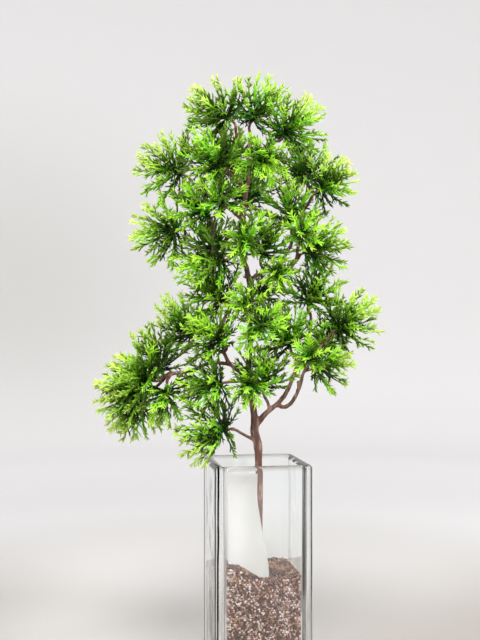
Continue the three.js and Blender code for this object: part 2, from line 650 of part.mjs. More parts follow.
// The arms of each whorl, each where it is clear of what is taken and of the spray's own pieces.
function growWhorls(spray, index, taken, own) {
  const draw = seededDraw(SPRAY_SEED + index);
  const seat = vector(spray.seat);
  const axis = sprayAxis(spray);
  return (spray.isFull ? WHORLS.full : WHORLS.small).map((whorl) => {
    const first = draw() * Math.PI * 2;
    const arms = [];
    for (let i = 0; i < whorl.arms; i += 1) {
      const wanted = {
        turn: first + ((i + 0.3 * (draw() - 0.5)) / whorl.arms) * Math.PI * 2,
        lean: whorl.lean + 12 * (draw() - 0.5),
        start: whorl.start,
        length: spray.reach * whorl.length * (0.9 + 0.16 * draw()),
        hand: draw() < 0.5 ? -1 : 1,
      };
      const arm = placeArm(seat, axis, wanted, [...taken, ...own]);
      if (!arm) continue;
      arms.push(arm);
      own.push(...armPieces(arm));
    }
    return arms;
  });
}

// One spray as a closed solid: a slim core through its whorls, which runs on as the middle needle.
function makeSpray(spray, whorls, leader) {
  const seat = vector(spray.seat);
  const axis = sprayAxis(spray);
  const along = (far) => seat.clone().addScaledVector(axis, far);
  const ringAt = (far, radius) => coreRing((turn) => (
    along(far).addScaledVector(armDirections(axis, turn).out, radius)
  ));
  const shells = whorls.filter((arms) => arms.length > 2).map((arms) => whorlShell(seat, axis, arms));
  const rings = [ringAt(-CORE.seat, 0), ringAt(-CORE.seat, CORE.radius)];
  shells.forEach(({ low, high }) => rings.push(low, high));
  rings.push(ringAt(CORE.length, CORE.tip), ringAt(leader, 0));
  const walls = [sleeve(rings[0], rings[1])];
  for (let i = 1; i < rings.length - 1; i += 2) walls.push(sleeve(rings[i], rings[i + 1]));
  walls.push(sleeve(rings.at(-2), rings.at(-1)));
  return toSolid(mergeGeometries([...walls, ...shells.map(({ shell }) => shell)]));
}

// Grows every spray in turn, each clear of the stem and of the sprays before it.
function growSprays() {
  const wood = [TRUNK, ...LIMBS].flatMap(limbPieces);
  const twigs = SPRAYS.map((spray) => limbPieces(twigOf(spray)));
  const cores = SPRAYS.map((spray) => corePiece(spray, -CORE.seat, CORE.length));
  const needles = [];
  return SPRAYS.map((spray, index) => {
    const others = [
      ...wood,
      ...twigs.flatMap((own, i) => (i === index ? own.slice(0, -2) : own)),
      ...cores.filter((_, i) => i !== index),
      ...needles,
    ];
    const leader = TRIMS.map((trim) => spray.reach * CORE.leader * trim)
      .find((far) => isClear([corePiece(spray, CORE.length, far)], others)) ?? CORE.length + 2;
    const own = [corePiece(spray, CORE.length, leader)];
    const whorls = growWhorls(spray, index, others, own);
    needles.push(...own);
    return makeSpray(spray, whorls, leader);
  });
}

function corePiece(spray, from, to) {
  const [low, high] = [from, to].map((far) => vector(spray.seat).addScaledVector(sprayAxis(spray), far));
  return piece(low, high, from < 0 ? CORE.radius : CORE.tip);
}

const branch = new THREE.Group();
branch.rotation.z = PLANT_TURN;
branch.position.copy(PLANT_PLACE);
branch.add(toMesh('slip', makeSlip(0, 0, new THREE.Vector3()), MATERIALS.slip));
branch.add(toMesh('stem', makeStem(), MATERIALS.stem));
growSprays().forEach((solid, i) => {
  branch.add(toMesh(`spray_${SPRAYS[i].name}`, solid, MATERIALS.foliage));
});

const slot = makeSlip(CLEARANCE, PLANT_TURN, PLANT_PLACE);
const object = new THREE.Group();
object.add(toMesh('vase', makeVase(), MATERIALS.glass));
object.add(toMesh('gravel', makeGravel(slot), MATERIALS.gravel));
object.add(branch);

export default object;
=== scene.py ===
"""A moulded juniper branch in gravel in a square glass vase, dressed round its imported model."""

import math

import bpy
import numpy as np
from mathutils import Matrix, Vector, noise


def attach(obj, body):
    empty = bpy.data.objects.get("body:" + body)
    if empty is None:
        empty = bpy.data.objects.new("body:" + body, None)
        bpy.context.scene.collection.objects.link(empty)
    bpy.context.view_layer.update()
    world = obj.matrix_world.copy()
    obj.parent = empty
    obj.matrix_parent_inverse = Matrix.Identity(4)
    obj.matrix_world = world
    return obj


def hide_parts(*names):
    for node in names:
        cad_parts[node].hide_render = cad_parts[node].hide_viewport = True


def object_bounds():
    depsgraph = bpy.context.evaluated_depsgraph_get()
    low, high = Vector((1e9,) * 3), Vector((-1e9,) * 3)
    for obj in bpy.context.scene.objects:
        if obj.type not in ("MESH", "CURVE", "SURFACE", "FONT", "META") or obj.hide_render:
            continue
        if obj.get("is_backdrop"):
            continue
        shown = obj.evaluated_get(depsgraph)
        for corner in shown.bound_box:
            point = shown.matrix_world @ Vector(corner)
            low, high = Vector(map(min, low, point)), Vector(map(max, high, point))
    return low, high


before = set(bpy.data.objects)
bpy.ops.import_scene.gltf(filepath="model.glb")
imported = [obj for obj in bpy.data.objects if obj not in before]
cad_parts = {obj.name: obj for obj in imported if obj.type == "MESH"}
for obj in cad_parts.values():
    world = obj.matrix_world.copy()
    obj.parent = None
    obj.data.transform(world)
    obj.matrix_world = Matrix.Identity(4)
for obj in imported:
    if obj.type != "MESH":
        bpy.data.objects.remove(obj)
CAD_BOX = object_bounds()

bl_info = {
    "name": "Juniper Branch in a Glass Vase",
    "version": (1, 0, 0),
    "blender": (4, 5, 0),
    "location": "View3D > Sidebar > Juniper",
    "description": "Builds a moulded juniper branch standing in gravel in a square glass vase",
    "category": "Object",
}

# Places and sizes are in millimetres, as in the part's source, and meshes are made in metres.
MM = 0.001

# The branch's own frame: places are [right, back, up], turned and set off from the vase's middle.
BRANCH_TURN = math.radians(-10)
BRANCH_SHIFT = 1.4
BRANCH = Matrix.Rotation(BRANCH_TURN, 4, "Z") @ Matrix.Translation((BRANCH_SHIFT, 0, 0))

VASE_WIDTH, VASE_HEIGHT = 80, 200
VASE_BASE = 13  # how thick the glass is under the cavity
VASE_CORNER = 10
CAVITY_MOUTH, CAVITY_FLOOR, CAVITY_CORNER = 63.6, 61.4, 2.5
LIP = 3.6  # radius of the cavity's rounded mouth
FLOOR_EDGE = 1.5  # radius of the edges of the foot and of the cavity's floor
RIM_SEGMENTS = 4
CUT_BEYOND = 5  # how far the cavity's cutter stands out above the rim
CLEARANCE = 0.3  # between pieces that stand in or next to each other

GRAVEL_LEVEL, MOUND_HEIGHT, MOUND_RADIUS = 112, 8, 17
MOUND_AT = (-26, -24)
DIP_DEPTH, DIP_AT = 5.5, (5, -31)
RIPPLE, RIPPLE_SCALE = 1.1, 0.16
BED_SINK = 1.3  # how far the grains stand out of the bed that they lie on
GRAIN_ROUGHNESS = 0.22
GRAIN_SIZES = 0.8, 1.3  # shares of the middling grain's radius
# Painted shade: the grains on top take darker tones, against the key light that falls on the top
# from above.
TOP_PAINTED_SHADE_TONES = 0.62, 0.98  # the grains on top are darker than the others
# Shares of the grains' spacing: rows and columns on the walls, and cells on top.
ROW_STEP, COLUMN_STEP, CELL_STEP = 0.9, 0.96, 0.8
LOWEST_ROW, LOWEST_GRAIN = 1.6, 1.5  # heights above the cavity's floor
TOP_CORNER = 5  # radius of the corners of the top that the grains fill
GRAVEL_SEED, SPRAY_SEED = 11, 500

SLIP_TOP, SLIP_BOTTOM, SLIP_LEFT = 192, 64, -28
SLIP_RADIUS, SLIP_MIDDLE = 34, (-9, -22)
# How far right the slip reaches, and at what height.
SLIP_EDGE = [
    (-1.5, 192), (-2, 174), (-0.8, 164), (1.8, 149), (5.2, 133), (7.6, 116), (8.2, 96), (8.2, 64),
]
SLIP_DEPTH = 1.8  # its thickness, and a little room for the grains behind it
SLIP_ROUNDING = 0.35

STEM_FOOT, STEM_BORE = 20, 3.3
RIDGE, KNOT = 0.22, 0.3  # heights of the ridges and knots of the moulded wood
# The trunk, and then each limb: the places that its middle passes, each with its radius there.
TRUNK = [
    (0, 0, STEM_FOOT, 3), (0, 0, 80, 3), (0, 0, 140, 3.1), (0, 0, 200, 3.1), (-0.4, 0, 212, 3.7),
    (-2, 0, 219, 3.5), (-3.4, 0, 225, 3.8), (-3, 0, 230, 3.6), (-3.4, 0, 236, 3), (-5, 1, 246, 2.8),
    (-7.6, 2, 258, 2.7), (-8, 2, 279, 2.6), (-7, 1, 294, 2.5), (-7, 0, 316, 2.4),
    (-7, -1, 341, 2.3), (-9.5, 0, 357, 2.3), (-13.7, 0, 370, 2.3), (-15.3, 0, 386, 2.1),
    (-12.9, 0, 403, 2), (-10.4, 0, 420, 1.9), (-7.9, 0, 436, 1.8), (-7.8, 0, 450, 1.6),
]
LIMBS = [
    [
        (-3, 0, 227, 2.6), (1.2, -1, 233, 2.5), (6.2, -2, 239, 2.3), (11.2, -2, 243, 2.1),
        (17, -1, 248, 2), (22.8, 0, 255.5, 1.9), (27, 1, 264, 1.8), (30.3, 2, 273, 1.7),
        (34.4, 3, 281, 1.7), (39.4, 5, 291, 1.6), (42.7, 7, 303.5, 1.5), (43.6, 9, 314, 1.4),
    ],
    [
        (15, -1.5, 246.5, 1.9), (20.3, -1, 243.9, 1.8), (25.3, 0, 245.6, 1.8),
        (29.4, 0, 250.6, 1.8), (32.7, 1, 257, 1.7), (35.2, 1, 264, 1.6), (37.4, 2, 272, 1.5),
        (41, 3, 277, 1.5),
    ],
    [(33.6, 1, 258, 1.4), (32.9, 0.5, 262, 1.2), (32.4, 0, 266, 1.1)],
    [
        (-8, 2, 266, 2.1), (-11, 0, 269, 2), (-15.3, -3, 273, 1.9), (-21, -5, 277.5, 1.8),
        (-25, -7, 282, 1.7), (-28.6, -10, 290, 1.6),
    ],
    [
        (-22.5, -5.5, 279, 1.7), (-30.3, -5, 280.5, 1.7), (-37.7, -4, 281, 1.6),
        (-43.5, -3, 279.5, 1.6), (-52.6, -2, 275, 1.6), (-65, -1, 272.3, 1.7),
        (-75, -1, 271.5, 1.8),
    ],
    [
        (-14.6, 0, 373, 1.9), (-21, 1, 370, 1.9), (-28, 1, 370.5, 1.8), (-38.5, 1, 372, 1.8),
        (-48.5, 2, 375, 1.8), (-56, 2, 377.5, 1.8),
    ],
    [
        (-7, -1, 345, 1.9), (-3, -1, 352, 1.8), (4.6, -1, 356, 1.8), (13.7, -1, 358.7, 1.7),
        (17.8, 0, 363.7, 1.6), (24.5, 2, 373.6, 1.5), (27.8, 4, 381, 1.5), (27.6, 5, 389, 1.5),
    ],
    [(12.5, -1, 358.4, 1.6), (20, -3, 356.5, 1.5), (25, -4, 357.5, 1.5), (29, -5, 362.5, 1.5)],
    [(-13.5, 0, 399, 1.8), (-22, 2, 407, 1.7), (-32, 4, 414, 1.7), (-42.6, 6, 420, 1.6)],
    [(-10, 0, 423, 1.6), (-16, -6, 429, 1.5), (-22, -12, 434, 1.4)],
    [(-7.9, 0, 447, 1.5), (-2, -1, 453.5, 1.4), (6, -3, 459, 1.4)],
]
TWIG_ROOT, TWIG_END = 1.5, 1.3  # radii
TWIG_STRAIGHT, TWIG_PLUG = 4, 1.5  # lengths of its straight end, and of what is in the core
CORE_SEAT, CORE_LENGTH, CORE_RADIUS = 2, 7, 1.47
SMALL_REACH = 26  # a spray that reaches no further has fewer arms

# Each spray: its name, the places that its twig passes, its seat at the twig's end, the way it
# points (degrees from right towards up, then degrees towards the viewer), and its arms' reach.
SPRAYS = [
    ("crown_left", [(-7.9, 0, 448), (-14, -3, 459), (-18.5, -5, 470)], (-25, -8, 481), 147, 0, 37),
    ("crown_top", [(-7.8, 0, 449), (-7.8, 2, 460), (-7, 4, 471)], (-5, 6, 483), 66, 0, 37),
    ("crown_right", [(5, -2.8, 458.5), (13, -3.5, 463.5)], (21, -4, 468), 45, 0, 36),
    ("crown_front", [(-8, 0, 440), (-3, -12, 444)], (2, -26, 446), 270, 65, 27),
    ("shoulder_left", [(-21, -11, 433.5)], (-31, -22, 439), 140, 25, 36),
    ("shoulder_back", [(-17, -6, 429.5), (-22, 4, 437)], (-26, 16, 447), 95, -30, 33),
    ("upper_left", [(-41, 6, 419.5), (-52, 7, 427)], (-65, 8, 438), 160, 0, 38),
    ("upper_left_front", [(-24, 2, 408.5), (-27, -12, 408)], (-30, -28, 410), 85, 50, 24),
    ("upper_back", [(-13, 0, 402), (-12, 9, 409)], (-9, 22, 418), 95, -35, 34),
    ("upper_right", [(27.7, 4, 386), (33, 10, 398), (37, 12, 414)], (40, 12, 434), 105, -10, 35),
    ("upper_right_out", [(34, 10.5, 403), (41, 2, 412)], (51, -10, 424), 38, 0, 29),
    ("left_high", [(-37, 1, 372), (-38, -5, 388)], (-43, -14, 402), 138, 10, 31),
    ("left_out", [(-55, 2, 377.3), (-61, 2, 382)], (-68, 2, 390), 186, 0, 37),
    ("left_back", [(-36, 1, 371.7), (-36.5, 9, 373)], (-37, 20, 375), 105, -30, 31),
    ("left_in", [(-20, 1, 370), (-24, -3, 367.5)], (-30, -6, 365), 190, 0, 40),
    ("trunk_front_high", [(-15, 0, 380), (-13, -13, 380)], (-11, -26, 380), 200, 65, 19),
    ("middle_high", [(4.6, -1, 356)], (3, -8, 370), 76, 10, 34),
    ("right_high", [(27.7, 4.8, 388), (27.5, 5.5, 392)], (27, 6, 399), 90, 0, 35),
    ("right_out", [(28.5, -5, 361.8), (33, -6.5, 367.5)], (40, -8, 372), 22, 0, 34),
    ("right_front", [(31, -5.6, 365.5), (32, -16, 376)], (34, -28, 385), 60, 65, 18),
    ("middle_right_front", [(13, -1, 358.5), (13.5, -13, 356.5)], (14, -26, 355), 300, 60, 16),
    ("right_middle", [(43.4, 8.6, 312), (43.6, 9.5, 321)], (43, 10, 330), 76, 0, 36),
    ("right_far", [(40, 3, 276), (48, 0, 291), (56, -2, 298)], (65, -4, 309), 42, 0, 37),
    ("right_low", [(38.5, 2.3, 274)], (46, 4, 276), 20, 0, 32),
    ("right_low_front", [(38, 2.2, 273.5), (39.5, -12, 281)], (41, -26, 286), 120, 60, 18),
    ("right_low_back", [(48, 0, 291), (51.5, 8, 292.5)], (54, 16, 295), 80, -20, 24),
    ("middle_right", [(32.5, 2.5, 278), (29.5, 4, 285)], (26, 6, 294), 112, 0, 37),
    ("middle_back", [(-7, -1, 333), (-4, 8, 336)], (0, 18, 339), 10, -35, 25),
    ("trunk_front", [(-7, -0.5, 326), (-8, -13, 328)], (-9, -26, 329), 150, 60, 19),
    ("trunk_front_low", [(-7, 0.5, 303), (-3, -13, 307)], (2, -28, 311), 80, 50, 23),
    (
        "left_middle", [(-28.5, -10, 290), (-30, -9, 303), (-28.5, -6, 316)],
        (-29, -4, 332), 135, 0, 35,
    ),
    (
        "left_middle_out", [(-28, -9.7, 289), (-38.5, -3, 292.8), (-48.5, 4, 295.5)],
        (-57, 10, 303), 122, -5, 35,
    ),
    ("left_middle_front", [(-28.5, -10, 289.5)], (-31, -18, 298), 140, 15, 32),
    ("left_low_up", [(-74.5, -1, 271.5), (-77, 5, 268)], (-81, 10, 274), 115, 0, 38),
    ("left_low_front", [(-74, -1, 271.5), (-80, -7, 268.5)], (-89, -12, 268), 160, 15, 33),
    ("left_end", [(-74.5, -1, 271.4), (-83, -2, 262), (-90, -2, 256)], (-98, -2, 255), 178, 0, 36),
    ("left_end_down", [(-84, -2, 261), (-91, 7, 257)], (-101, 14, 247), 235, -10, 33),
    ("left_low_down", [(-72, -1, 271.6), (-75, -10, 266)], (-76, -16, 258), 258, 15, 27),
    ("low_left", [(-7.9, 2, 266), (-15.3, -3, 265.3)], (-31, -8, 264), 190, 0, 35),
    ("low_middle", [(8.9, -2, 241), (8, -4, 247)], (4, -8, 261), 92, 5, 32),
    ("low_front", [(-7.6, 2, 258), (-7.2, -13, 262)], (-7, -30, 265), 250, 45, 18),
    (
        "lowest_left", [(-2, 0, 215), (-7, -2, 218.5), (-12.8, -4, 221.8)],
        (-28, -6, 225), 192, 0, 40,
    ),
]


def shade(code):
    """A colour's red, green and blue as light, from its six-digit code."""
    parts = [int(code[i : i + 2], 16) / 255 for i in (1, 3, 5)]
    return tuple(c / 12.92 if c <= 0.04045 else ((c + 0.055) / 1.055) ** 2.4 for c in parts)


class VaseSettings(bpy.types.PropertyGroup):
    """Roundness and waviness of the glass."""

    rim: bpy.props.FloatProperty(
        name="Rim rounding", description="Radius of the rim's edges",
        default=4.0 * MM, unit="LENGTH",
    )
    segments: bpy.props.IntProperty(
        name="Corner segments", description="Faces round each corner",
        default=12, min=3, max=32,
    )
    waves: bpy.props.FloatProperty(
        name="Waviness", description="How far the cast glass departs from flat",
        default=0.08, subtype="FACTOR",
    )


class GravelSettings(bpy.types.PropertyGroup):
    """Size and spacing of the grains."""

    grain: bpy.props.FloatProperty(
        name="Grain radius", description="Radius of a middling grain",
        default=1.0 * MM, unit="LENGTH",
    )
    spacing: bpy.props.FloatProperty(
        name="Grain spacing", description="Distance between grains",
        default=1.84 * MM, unit="LENGTH",
    )


class SlipSettings(bpy.types.PropertyGroup):
    """The curved white slip in front of the stem."""

    thickness: bpy.props.FloatProperty(
        name="Thickness", description="Thickness of the sheet",
        default=1.6 * MM, unit="LENGTH",
    )
    colour: bpy.props.FloatVectorProperty(
        name="Colour", description="Colour of the sheet",
        subtype="COLOR", default=shade("#c8c3c3"),
    )


class StemSettings(bpy.types.PropertyGroup):
    """The moulded wood."""

    bark: bpy.props.FloatVectorProperty(
        name="Bark", description="Colour of the trunk",
        subtype="COLOR", default=shade("#643e30"),
    )
    # Pale streaks: partly the moulded bark's own paler colour, partly painted highlight.
    pale_streaks: bpy.props.FloatVectorProperty(
        name="Worn bark", description="Colour of its paler streaks",
        subtype="COLOR", default=shade("#b08c7a"),
    )
    voxel: bpy.props.FloatProperty(
        name="Mesh size", description="Size of the mesh that joins the limbs",
        default=0.9 * MM, unit="LENGTH",
    )


class FoliageSettings(bpy.types.PropertyGroup):
    """The needles."""

    # The core's colour is partly the needles' darker moulding and partly painted shade where they
    # crowd.
    inner: bpy.props.FloatVectorProperty(
        name="Inner needles", description="Colour at the core",
        subtype="COLOR", default=shade("#172803"),
    )
    middle: bpy.props.FloatVectorProperty(
        name="Middle needles", description="Colour half way out",
        subtype="COLOR", default=shade("#82c119"),
    )
    outer: bpy.props.FloatVectorProperty(
        name="Outer needles", description="Colour near the tips",
        subtype="COLOR", default=shade("#b0df40"),
    )
    tips: bpy.props.FloatVectorProperty(
        name="Young tips", description="Colour of the outermost tips",
        subtype="COLOR", default=shade("#cde66c"),
    )


class StageSettings(bpy.types.PropertyGroup):
    """The studio round the object."""

    backdrop: bpy.props.FloatVectorProperty(
        name="Backdrop", description="Colour of the wall",
        subtype="COLOR", default=shade("#e9e8e8"),
    )
    key: bpy.props.FloatProperty(
        name="Key light", description="Power of the key light",
        default=32, unit="POWER",
    )


class Flow:
    """A number that runs through a material's nodes, for use in ordinary sums."""

    def __init__(self, finish, socket):
        self.finish = finish
        self.socket = socket

    def sum(self, operation, *values):
        return self.finish.node("ShaderNodeMath", {"operation": operation}, dict(enumerate(values)))

    def __add__(self, other):
        return self.sum("ADD", self, other)

    def __radd__(self, other):
        return self.sum("ADD", other, self)

    def __sub__(self, other):
        return self.sum("SUBTRACT", self, other)

    def __rsub__(self, other):
        return self.sum("SUBTRACT", other, self)

    def __mul__(self, other):
        return self.sum("MULTIPLY", self, other)

    def __rmul__(self, other):
        return self.sum("MULTIPLY", other, self)

    def clamp(self):
        return self.finish.node("ShaderNodeClamp", {}, {"Value": self})

    def between(self, low, high):
        """0 below low, 1 above high, and smooth from one to the other."""
        return self.finish.node(
            "ShaderNodeMapRange",
            {"interpolation_type": "SMOOTHSTEP"},
            {"Value": self, "From Min": low, "From Max": high},
        )


class Finish:
    """A material and the nodes that make it."""

    def __init__(self, name):
        self.material = bpy.data.materials.new(name)
        self.material.use_nodes = True
        self.tree = self.material.node_tree
        self.tree.nodes.clear()
        self.surface = self.tree.nodes.new("ShaderNodeBsdfPrincipled")
        self.output = self.tree.nodes.new("ShaderNodeOutputMaterial")
        self.link(self.surface.outputs[0], self.output.inputs["Surface"])

    def link(self, source, socket):
        self.tree.links.new(source.socket if isinstance(source, Flow) else source, socket)

    def node(self, kind, settings=None, inputs=None, output=0):
        """Adds a node, sets its settings and then its inputs, and gives one of its outputs."""
        made = self.tree.nodes.new(kind)
        for name, value in (settings or {}).items():
            if name == "stops":
                self.set_stops(made.color_ramp, value)
            else:
                setattr(made, name, value)
        for name, value in (inputs or {}).items():
            self.put(made.inputs[name], value)
        return Flow(self, made.outputs[output])

    def set_stops(self, ramp, stops):
        """Gives a colour ramp its places and colours."""
        while len(ramp.elements) < len(stops):
            ramp.elements.new(0.5)
        for element, (place, colour) in zip(ramp.elements, stops):
            element.position = place
            element.color = (*colour, 1)

    def put(self, socket, value):
        if isinstance(value, (Flow, bpy.types.NodeSocket)):
            self.link(value, socket)
        else:
            is_opaque = socket.type == "RGBA" and len(value) == 3
            socket.default_value = (*value, 1) if is_opaque else value

    def mix(self, factor, first, second):
        """One colour where the factor is 0 and the other where it is 1."""
        inputs = {0: factor, 6: first, 7: second}
        return self.node("ShaderNodeMix", {"data_type": "RGBA"}, inputs, output=2)

    def blend(self, factor, first, second):
        """Shows one surface where the factor is 0 and the other where it is 1."""
        made = self.node("ShaderNodeMixShader", {}, {0: factor, 1: first, 2: second})
        self.link(made, self.output.inputs["Surface"])

    def noise(self, scale, detail=2, roughness=0.5, stretch=(1, 1, 1)):
        """Noise on the object's own coordinates, in lumps of about 1/scale metres."""
        place = self.node("ShaderNodeTexCoord", output="Object")
        spread = self.node("ShaderNodeMapping", {}, {"Vector": place, "Scale": stretch})
        inputs = {"Vector": spread, "Scale": scale, "Detail": detail, "Roughness": roughness}
        return self.node("ShaderNodeTexNoise", {}, inputs)

    def distance(self, place):
        """How far each point is from a place, in metres."""
        here = self.node("ShaderNodeTexCoord", output="Object")
        return self.node(
            "ShaderNodeVectorMath", {"operation": "DISTANCE"}, {0: here, 1: place}, output="Value"
        )

    def attribute(self, name):
        return self.node("ShaderNodeAttribute", {"attribute_name": name}, output="Fac")

    def bump(self, height, distance, strength=1.0):
        normal = self.node(
            "ShaderNodeBump", {}, {"Height": height, "Distance": distance, "Strength": strength}
        )
        self.put(self.surface.inputs["Normal"], normal)

    def set(self, **values):
        """Sets the shader's own inputs, by their names in small letters."""
        for name, value in values.items():
            label = name.replace("_", " ").title().replace("Ior", "IOR")
            self.put(self.surface.inputs[label], value)


def deselect():
    if bpy.context.mode != "OBJECT":
        bpy.ops.object.mode_set(mode="OBJECT")
    bpy.ops.object.select_all(action="DESELECT")


def choose_piece(piece):
    """Makes a piece the active one, and the only one that is selected."""
    deselect()
    piece.select_set(True)
    bpy.context.view_layer.objects.active = piece


def edit_all():
    """Enters edit mode with everything selected."""
    bpy.ops.object.mode_set(mode="EDIT")
    bpy.ops.mesh.select_all(action="SELECT")


def extrude(x, y, z):
    """Extrudes what is selected, by metres along each axis."""
    bpy.ops.mesh.extrude_region_move(TRANSFORM_OT_translate={"value": (x, y, z)})


def stretch(x, y, z):
    """Scales what is selected about the origin."""
    bpy.ops.transform.resize(value=(x, y, z), center_override=(0, 0, 0))


def finished(piece, name, finish, smooth_angle=None):
    """Names a finished piece, applies its place and gives it its material."""
    choose_piece(piece)
    bpy.ops.object.transform_apply(location=True, rotation=True, scale=True)
    if smooth_angle is not None:
        bpy.ops.object.shade_smooth_by_angle(angle=math.radians(smooth_angle))
    piece.name = piece.data.name = name
    piece.data.materials.clear()
    piece.data.materials.append(finish.material)
    return piece


def part_of_object(piece, slot, *nodes):
    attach(piece, "root")
    if nodes:
        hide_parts(*nodes)


def apply_modifier(piece, kind, **settings):
    choose_piece(piece)
    made = piece.modifiers.new(kind.title(), kind)
    for name, value in settings.items():
        setattr(made, name, value)
    bpy.ops.object.modifier_apply(modifier=made.name)


def choose(piece, kind, test):
    """In edit mode, selects only the vertices, edges or faces that pass a test."""
    bpy.ops.mesh.select_mode(type=kind)
    bpy.ops.mesh.select_all(action="DESELECT")
    bpy.ops.object.mode_set(mode="OBJECT")
    mesh = piece.data
    things = {"VERT": mesh.vertices, "EDGE": mesh.edges, "FACE": mesh.polygons}[kind]
    for thing in things:
        thing.select = test(thing, mesh)
    bpy.ops.object.mode_set(mode="EDIT")


def edge_heights(edge, mesh):
    return [mesh.vertices[i].co.z for i in edge.vertices]


def is_upright(edge, mesh):
    first, second = edge_heights(edge, mesh)
    return abs(first - second) > MM


def rounded_block(low, high, floor_width, top_width, corner, segments):
    """A block on a square base, with rounded upright corners and a top of another width."""
    deselect()
    bpy.ops.mesh.primitive_cube_add(size=1, location=(0, 0, (low + high) / 2 * MM))
    block = bpy.context.object
    block.scale = (floor_width * MM, floor_width * MM, (high - low) * MM)
    bpy.ops.object.transform_apply(location=True, rotation=True, scale=True)
    bpy.ops.object.mode_set(mode="EDIT")
    choose(block, "FACE", lambda face, mesh: face.normal.z > 0.9)
    stretch(top_width / floor_width, top_width / floor_width, 1)
    choose(block, "EDGE", is_upright)
    bpy.ops.mesh.bevel(offset=corner * MM, segments=segments, profile=0.5, affect="EDGES")
    bpy.ops.object.mode_set(mode="OBJECT")
    return block


def round_rim(block, height, radius):
    """Rounds the edges of a block's face at a height."""

    def lies_there(edge, mesh):
        return all(abs(end - height * MM) < 0.01 * MM for end in edge_heights(edge, mesh))

    bpy.ops.object.mode_set(mode="EDIT")
    choose(block, "EDGE", lies_there)
    bpy.ops.mesh.bevel(offset=radius, segments=RIM_SEGMENTS, profile=0.5, affect="EDGES")
    bpy.ops.object.mode_set(mode="OBJECT")


def flare_mouth(cutter):
    """Draws the top of the cavity outwards in a rounded lip and then straight up."""
    bpy.ops.object.mode_set(mode="EDIT")
    choose(cutter, "FACE", lambda face, mesh: face.normal.z > 0.9)
    width = CAVITY_MOUTH
    for angle in (30, 60, 90):
        turn = math.radians(angle)
        rise = LIP * (math.sin(turn) - math.sin(turn - math.radians(30)))
        extrude(0, 0, rise * MM)
        wider = CAVITY_MOUTH + 2 * LIP * (1 - math.cos(turn))
        stretch(wider / width, wider / width, 1)
        width = wider
    extrude(0, 0, CUT_BEYOND * MM)
    bpy.ops.object.mode_set(mode="OBJECT")


def glass_finish():
    """Clear glass, which lets the lights' rays straight through to what stands in it."""
    finish = Finish("clear_glass")
    settings = bpy.context.scene.juniper_vase
    finish.set(base_color=(0.97, 0.985, 0.98), roughness=0.0, ior=1.5, transmission_weight=1.0)
    finish.bump(finish.noise(45, detail=1), 0.004 * settings.waves, 0.5)
    clear = finish.node("ShaderNodeBsdfTransparent", {}, {"Color": (0.93, 0.95, 0.945)})
    shadow = finish.node("ShaderNodeLightPath", output="Is Shadow Ray")
    finish.blend(shadow, finish.surface.outputs[0], clear)
    return finish


class MakeVase(bpy.types.Operator):
    """Make the square glass vase with its thick base and walls"""

    bl_idname = "juniper.make_vase"
    bl_label = "Vase"

    def execute(self, context):
        settings = context.scene.juniper_vase
        vase = rounded_block(
            0, VASE_HEIGHT, VASE_WIDTH, VASE_WIDTH, VASE_CORNER, settings.segments
        )
        round_rim(vase, VASE_HEIGHT, settings.rim)
        round_rim(vase, 0, FLOOR_EDGE * MM)
        cutter = rounded_block(
            VASE_BASE, VASE_HEIGHT - LIP,
            CAVITY_FLOOR, CAVITY_MOUTH, CAVITY_CORNER, settings.segments,
        )
        round_rim(cutter, VASE_BASE, FLOOR_EDGE * MM)
        flare_mouth(cutter)
        apply_modifier(vase, "BOOLEAN", operation="DIFFERENCE", object=cutter, solver="EXACT")
        bpy.data.objects.remove(cutter)
        if len(vase.data.polygons) < 300:
            raise RuntimeError("the vase's cavity wasn't cut")
        finished(vase, "glass_vase", glass_finish(), smooth_angle=40)
        apply_modifier(vase, "WEIGHTED_NORMAL", keep_sharp=True, weight=100)
        part_of_object(vase, "glass", "vase")
        return {"FINISHED"}


def arrays_of(piece):
    """A piece's vertices and triangles as arrays; the piece itself is removed."""
    mesh = piece.data
    mesh.calc_loop_triangles()
    places = np.empty(len(mesh.vertices) * 3)
    mesh.vertices.foreach_get("co", places)
    triangles = np.empty(len(mesh.loop_triangles) * 3, dtype=np.int32)
    mesh.loop_triangles.foreach_get("vertices", triangles)
    bpy.data.objects.remove(piece)
    return places.reshape(-1, 3), triangles.reshape(-1, 3)


class Heap:
    """Copies of small meshes, gathered into one piece with a number or more at each vertex."""

    def __init__(self, *names):
        self.names = names
        self.places = []
        self.triangles = []
        self.values = {name: [] for name in names}
        self.count = 0

    def add(self, places, triangles, **values):
        self.places.append(places)
        self.triangles.append(triangles + self.count)
        for name in self.names:
            self.values[name].append(np.broadcast_to(values[name], len(places)))
        self.count += len(places)

    def piece(self):
        """All the copies as one piece, with the numbers as attributes."""
        deselect()
        bpy.ops.object.add(type="MESH")
        made = bpy.context.object
        places = np.concatenate(self.places) * MM
        triangles = np.concatenate(self.triangles)
        mesh = made.data
        mesh.vertices.add(len(places))
        mesh.vertices.foreach_set("co", places.ravel())
        mesh.loops.add(triangles.size)
        mesh.loops.foreach_set("vertex_index", triangles.ravel().astype(np.int32))
        mesh.polygons.add(len(triangles))
        mesh.polygons.foreach_set("loop_start", np.arange(0, triangles.size, 3, dtype=np.int32))
        for name, parts in self.values.items():
            layer = mesh.attributes.new(name, "FLOAT", "POINT")
            layer.data.foreach_set("value", np.concatenate(parts).astype(np.float32))
        mesh.update(calc_edges=True)
        mesh.validate()
        return made


def turn_matrices(count, draw):
    """Turns in every direction, as an array of 3 by 3 matrices."""
    numbers = draw.normal(size=(count, 4))
    w, x, y, z = (numbers / np.linalg.norm(numbers, axis=1, keepdims=True)).T
    rows = [
        [1 - 2 * (y * y + z * z), 2 * (x * y - z * w), 2 * (x * z + y * w)],
        [2 * (x * y + z * w), 1 - 2 * (x * x + z * z), 2 * (y * z - x * w)],
        [2 * (x * z - y * w), 2 * (y * z + x * w), 1 - 2 * (x * x + y * y)],
    ]
    return np.array(rows).transpose(2, 0, 1)


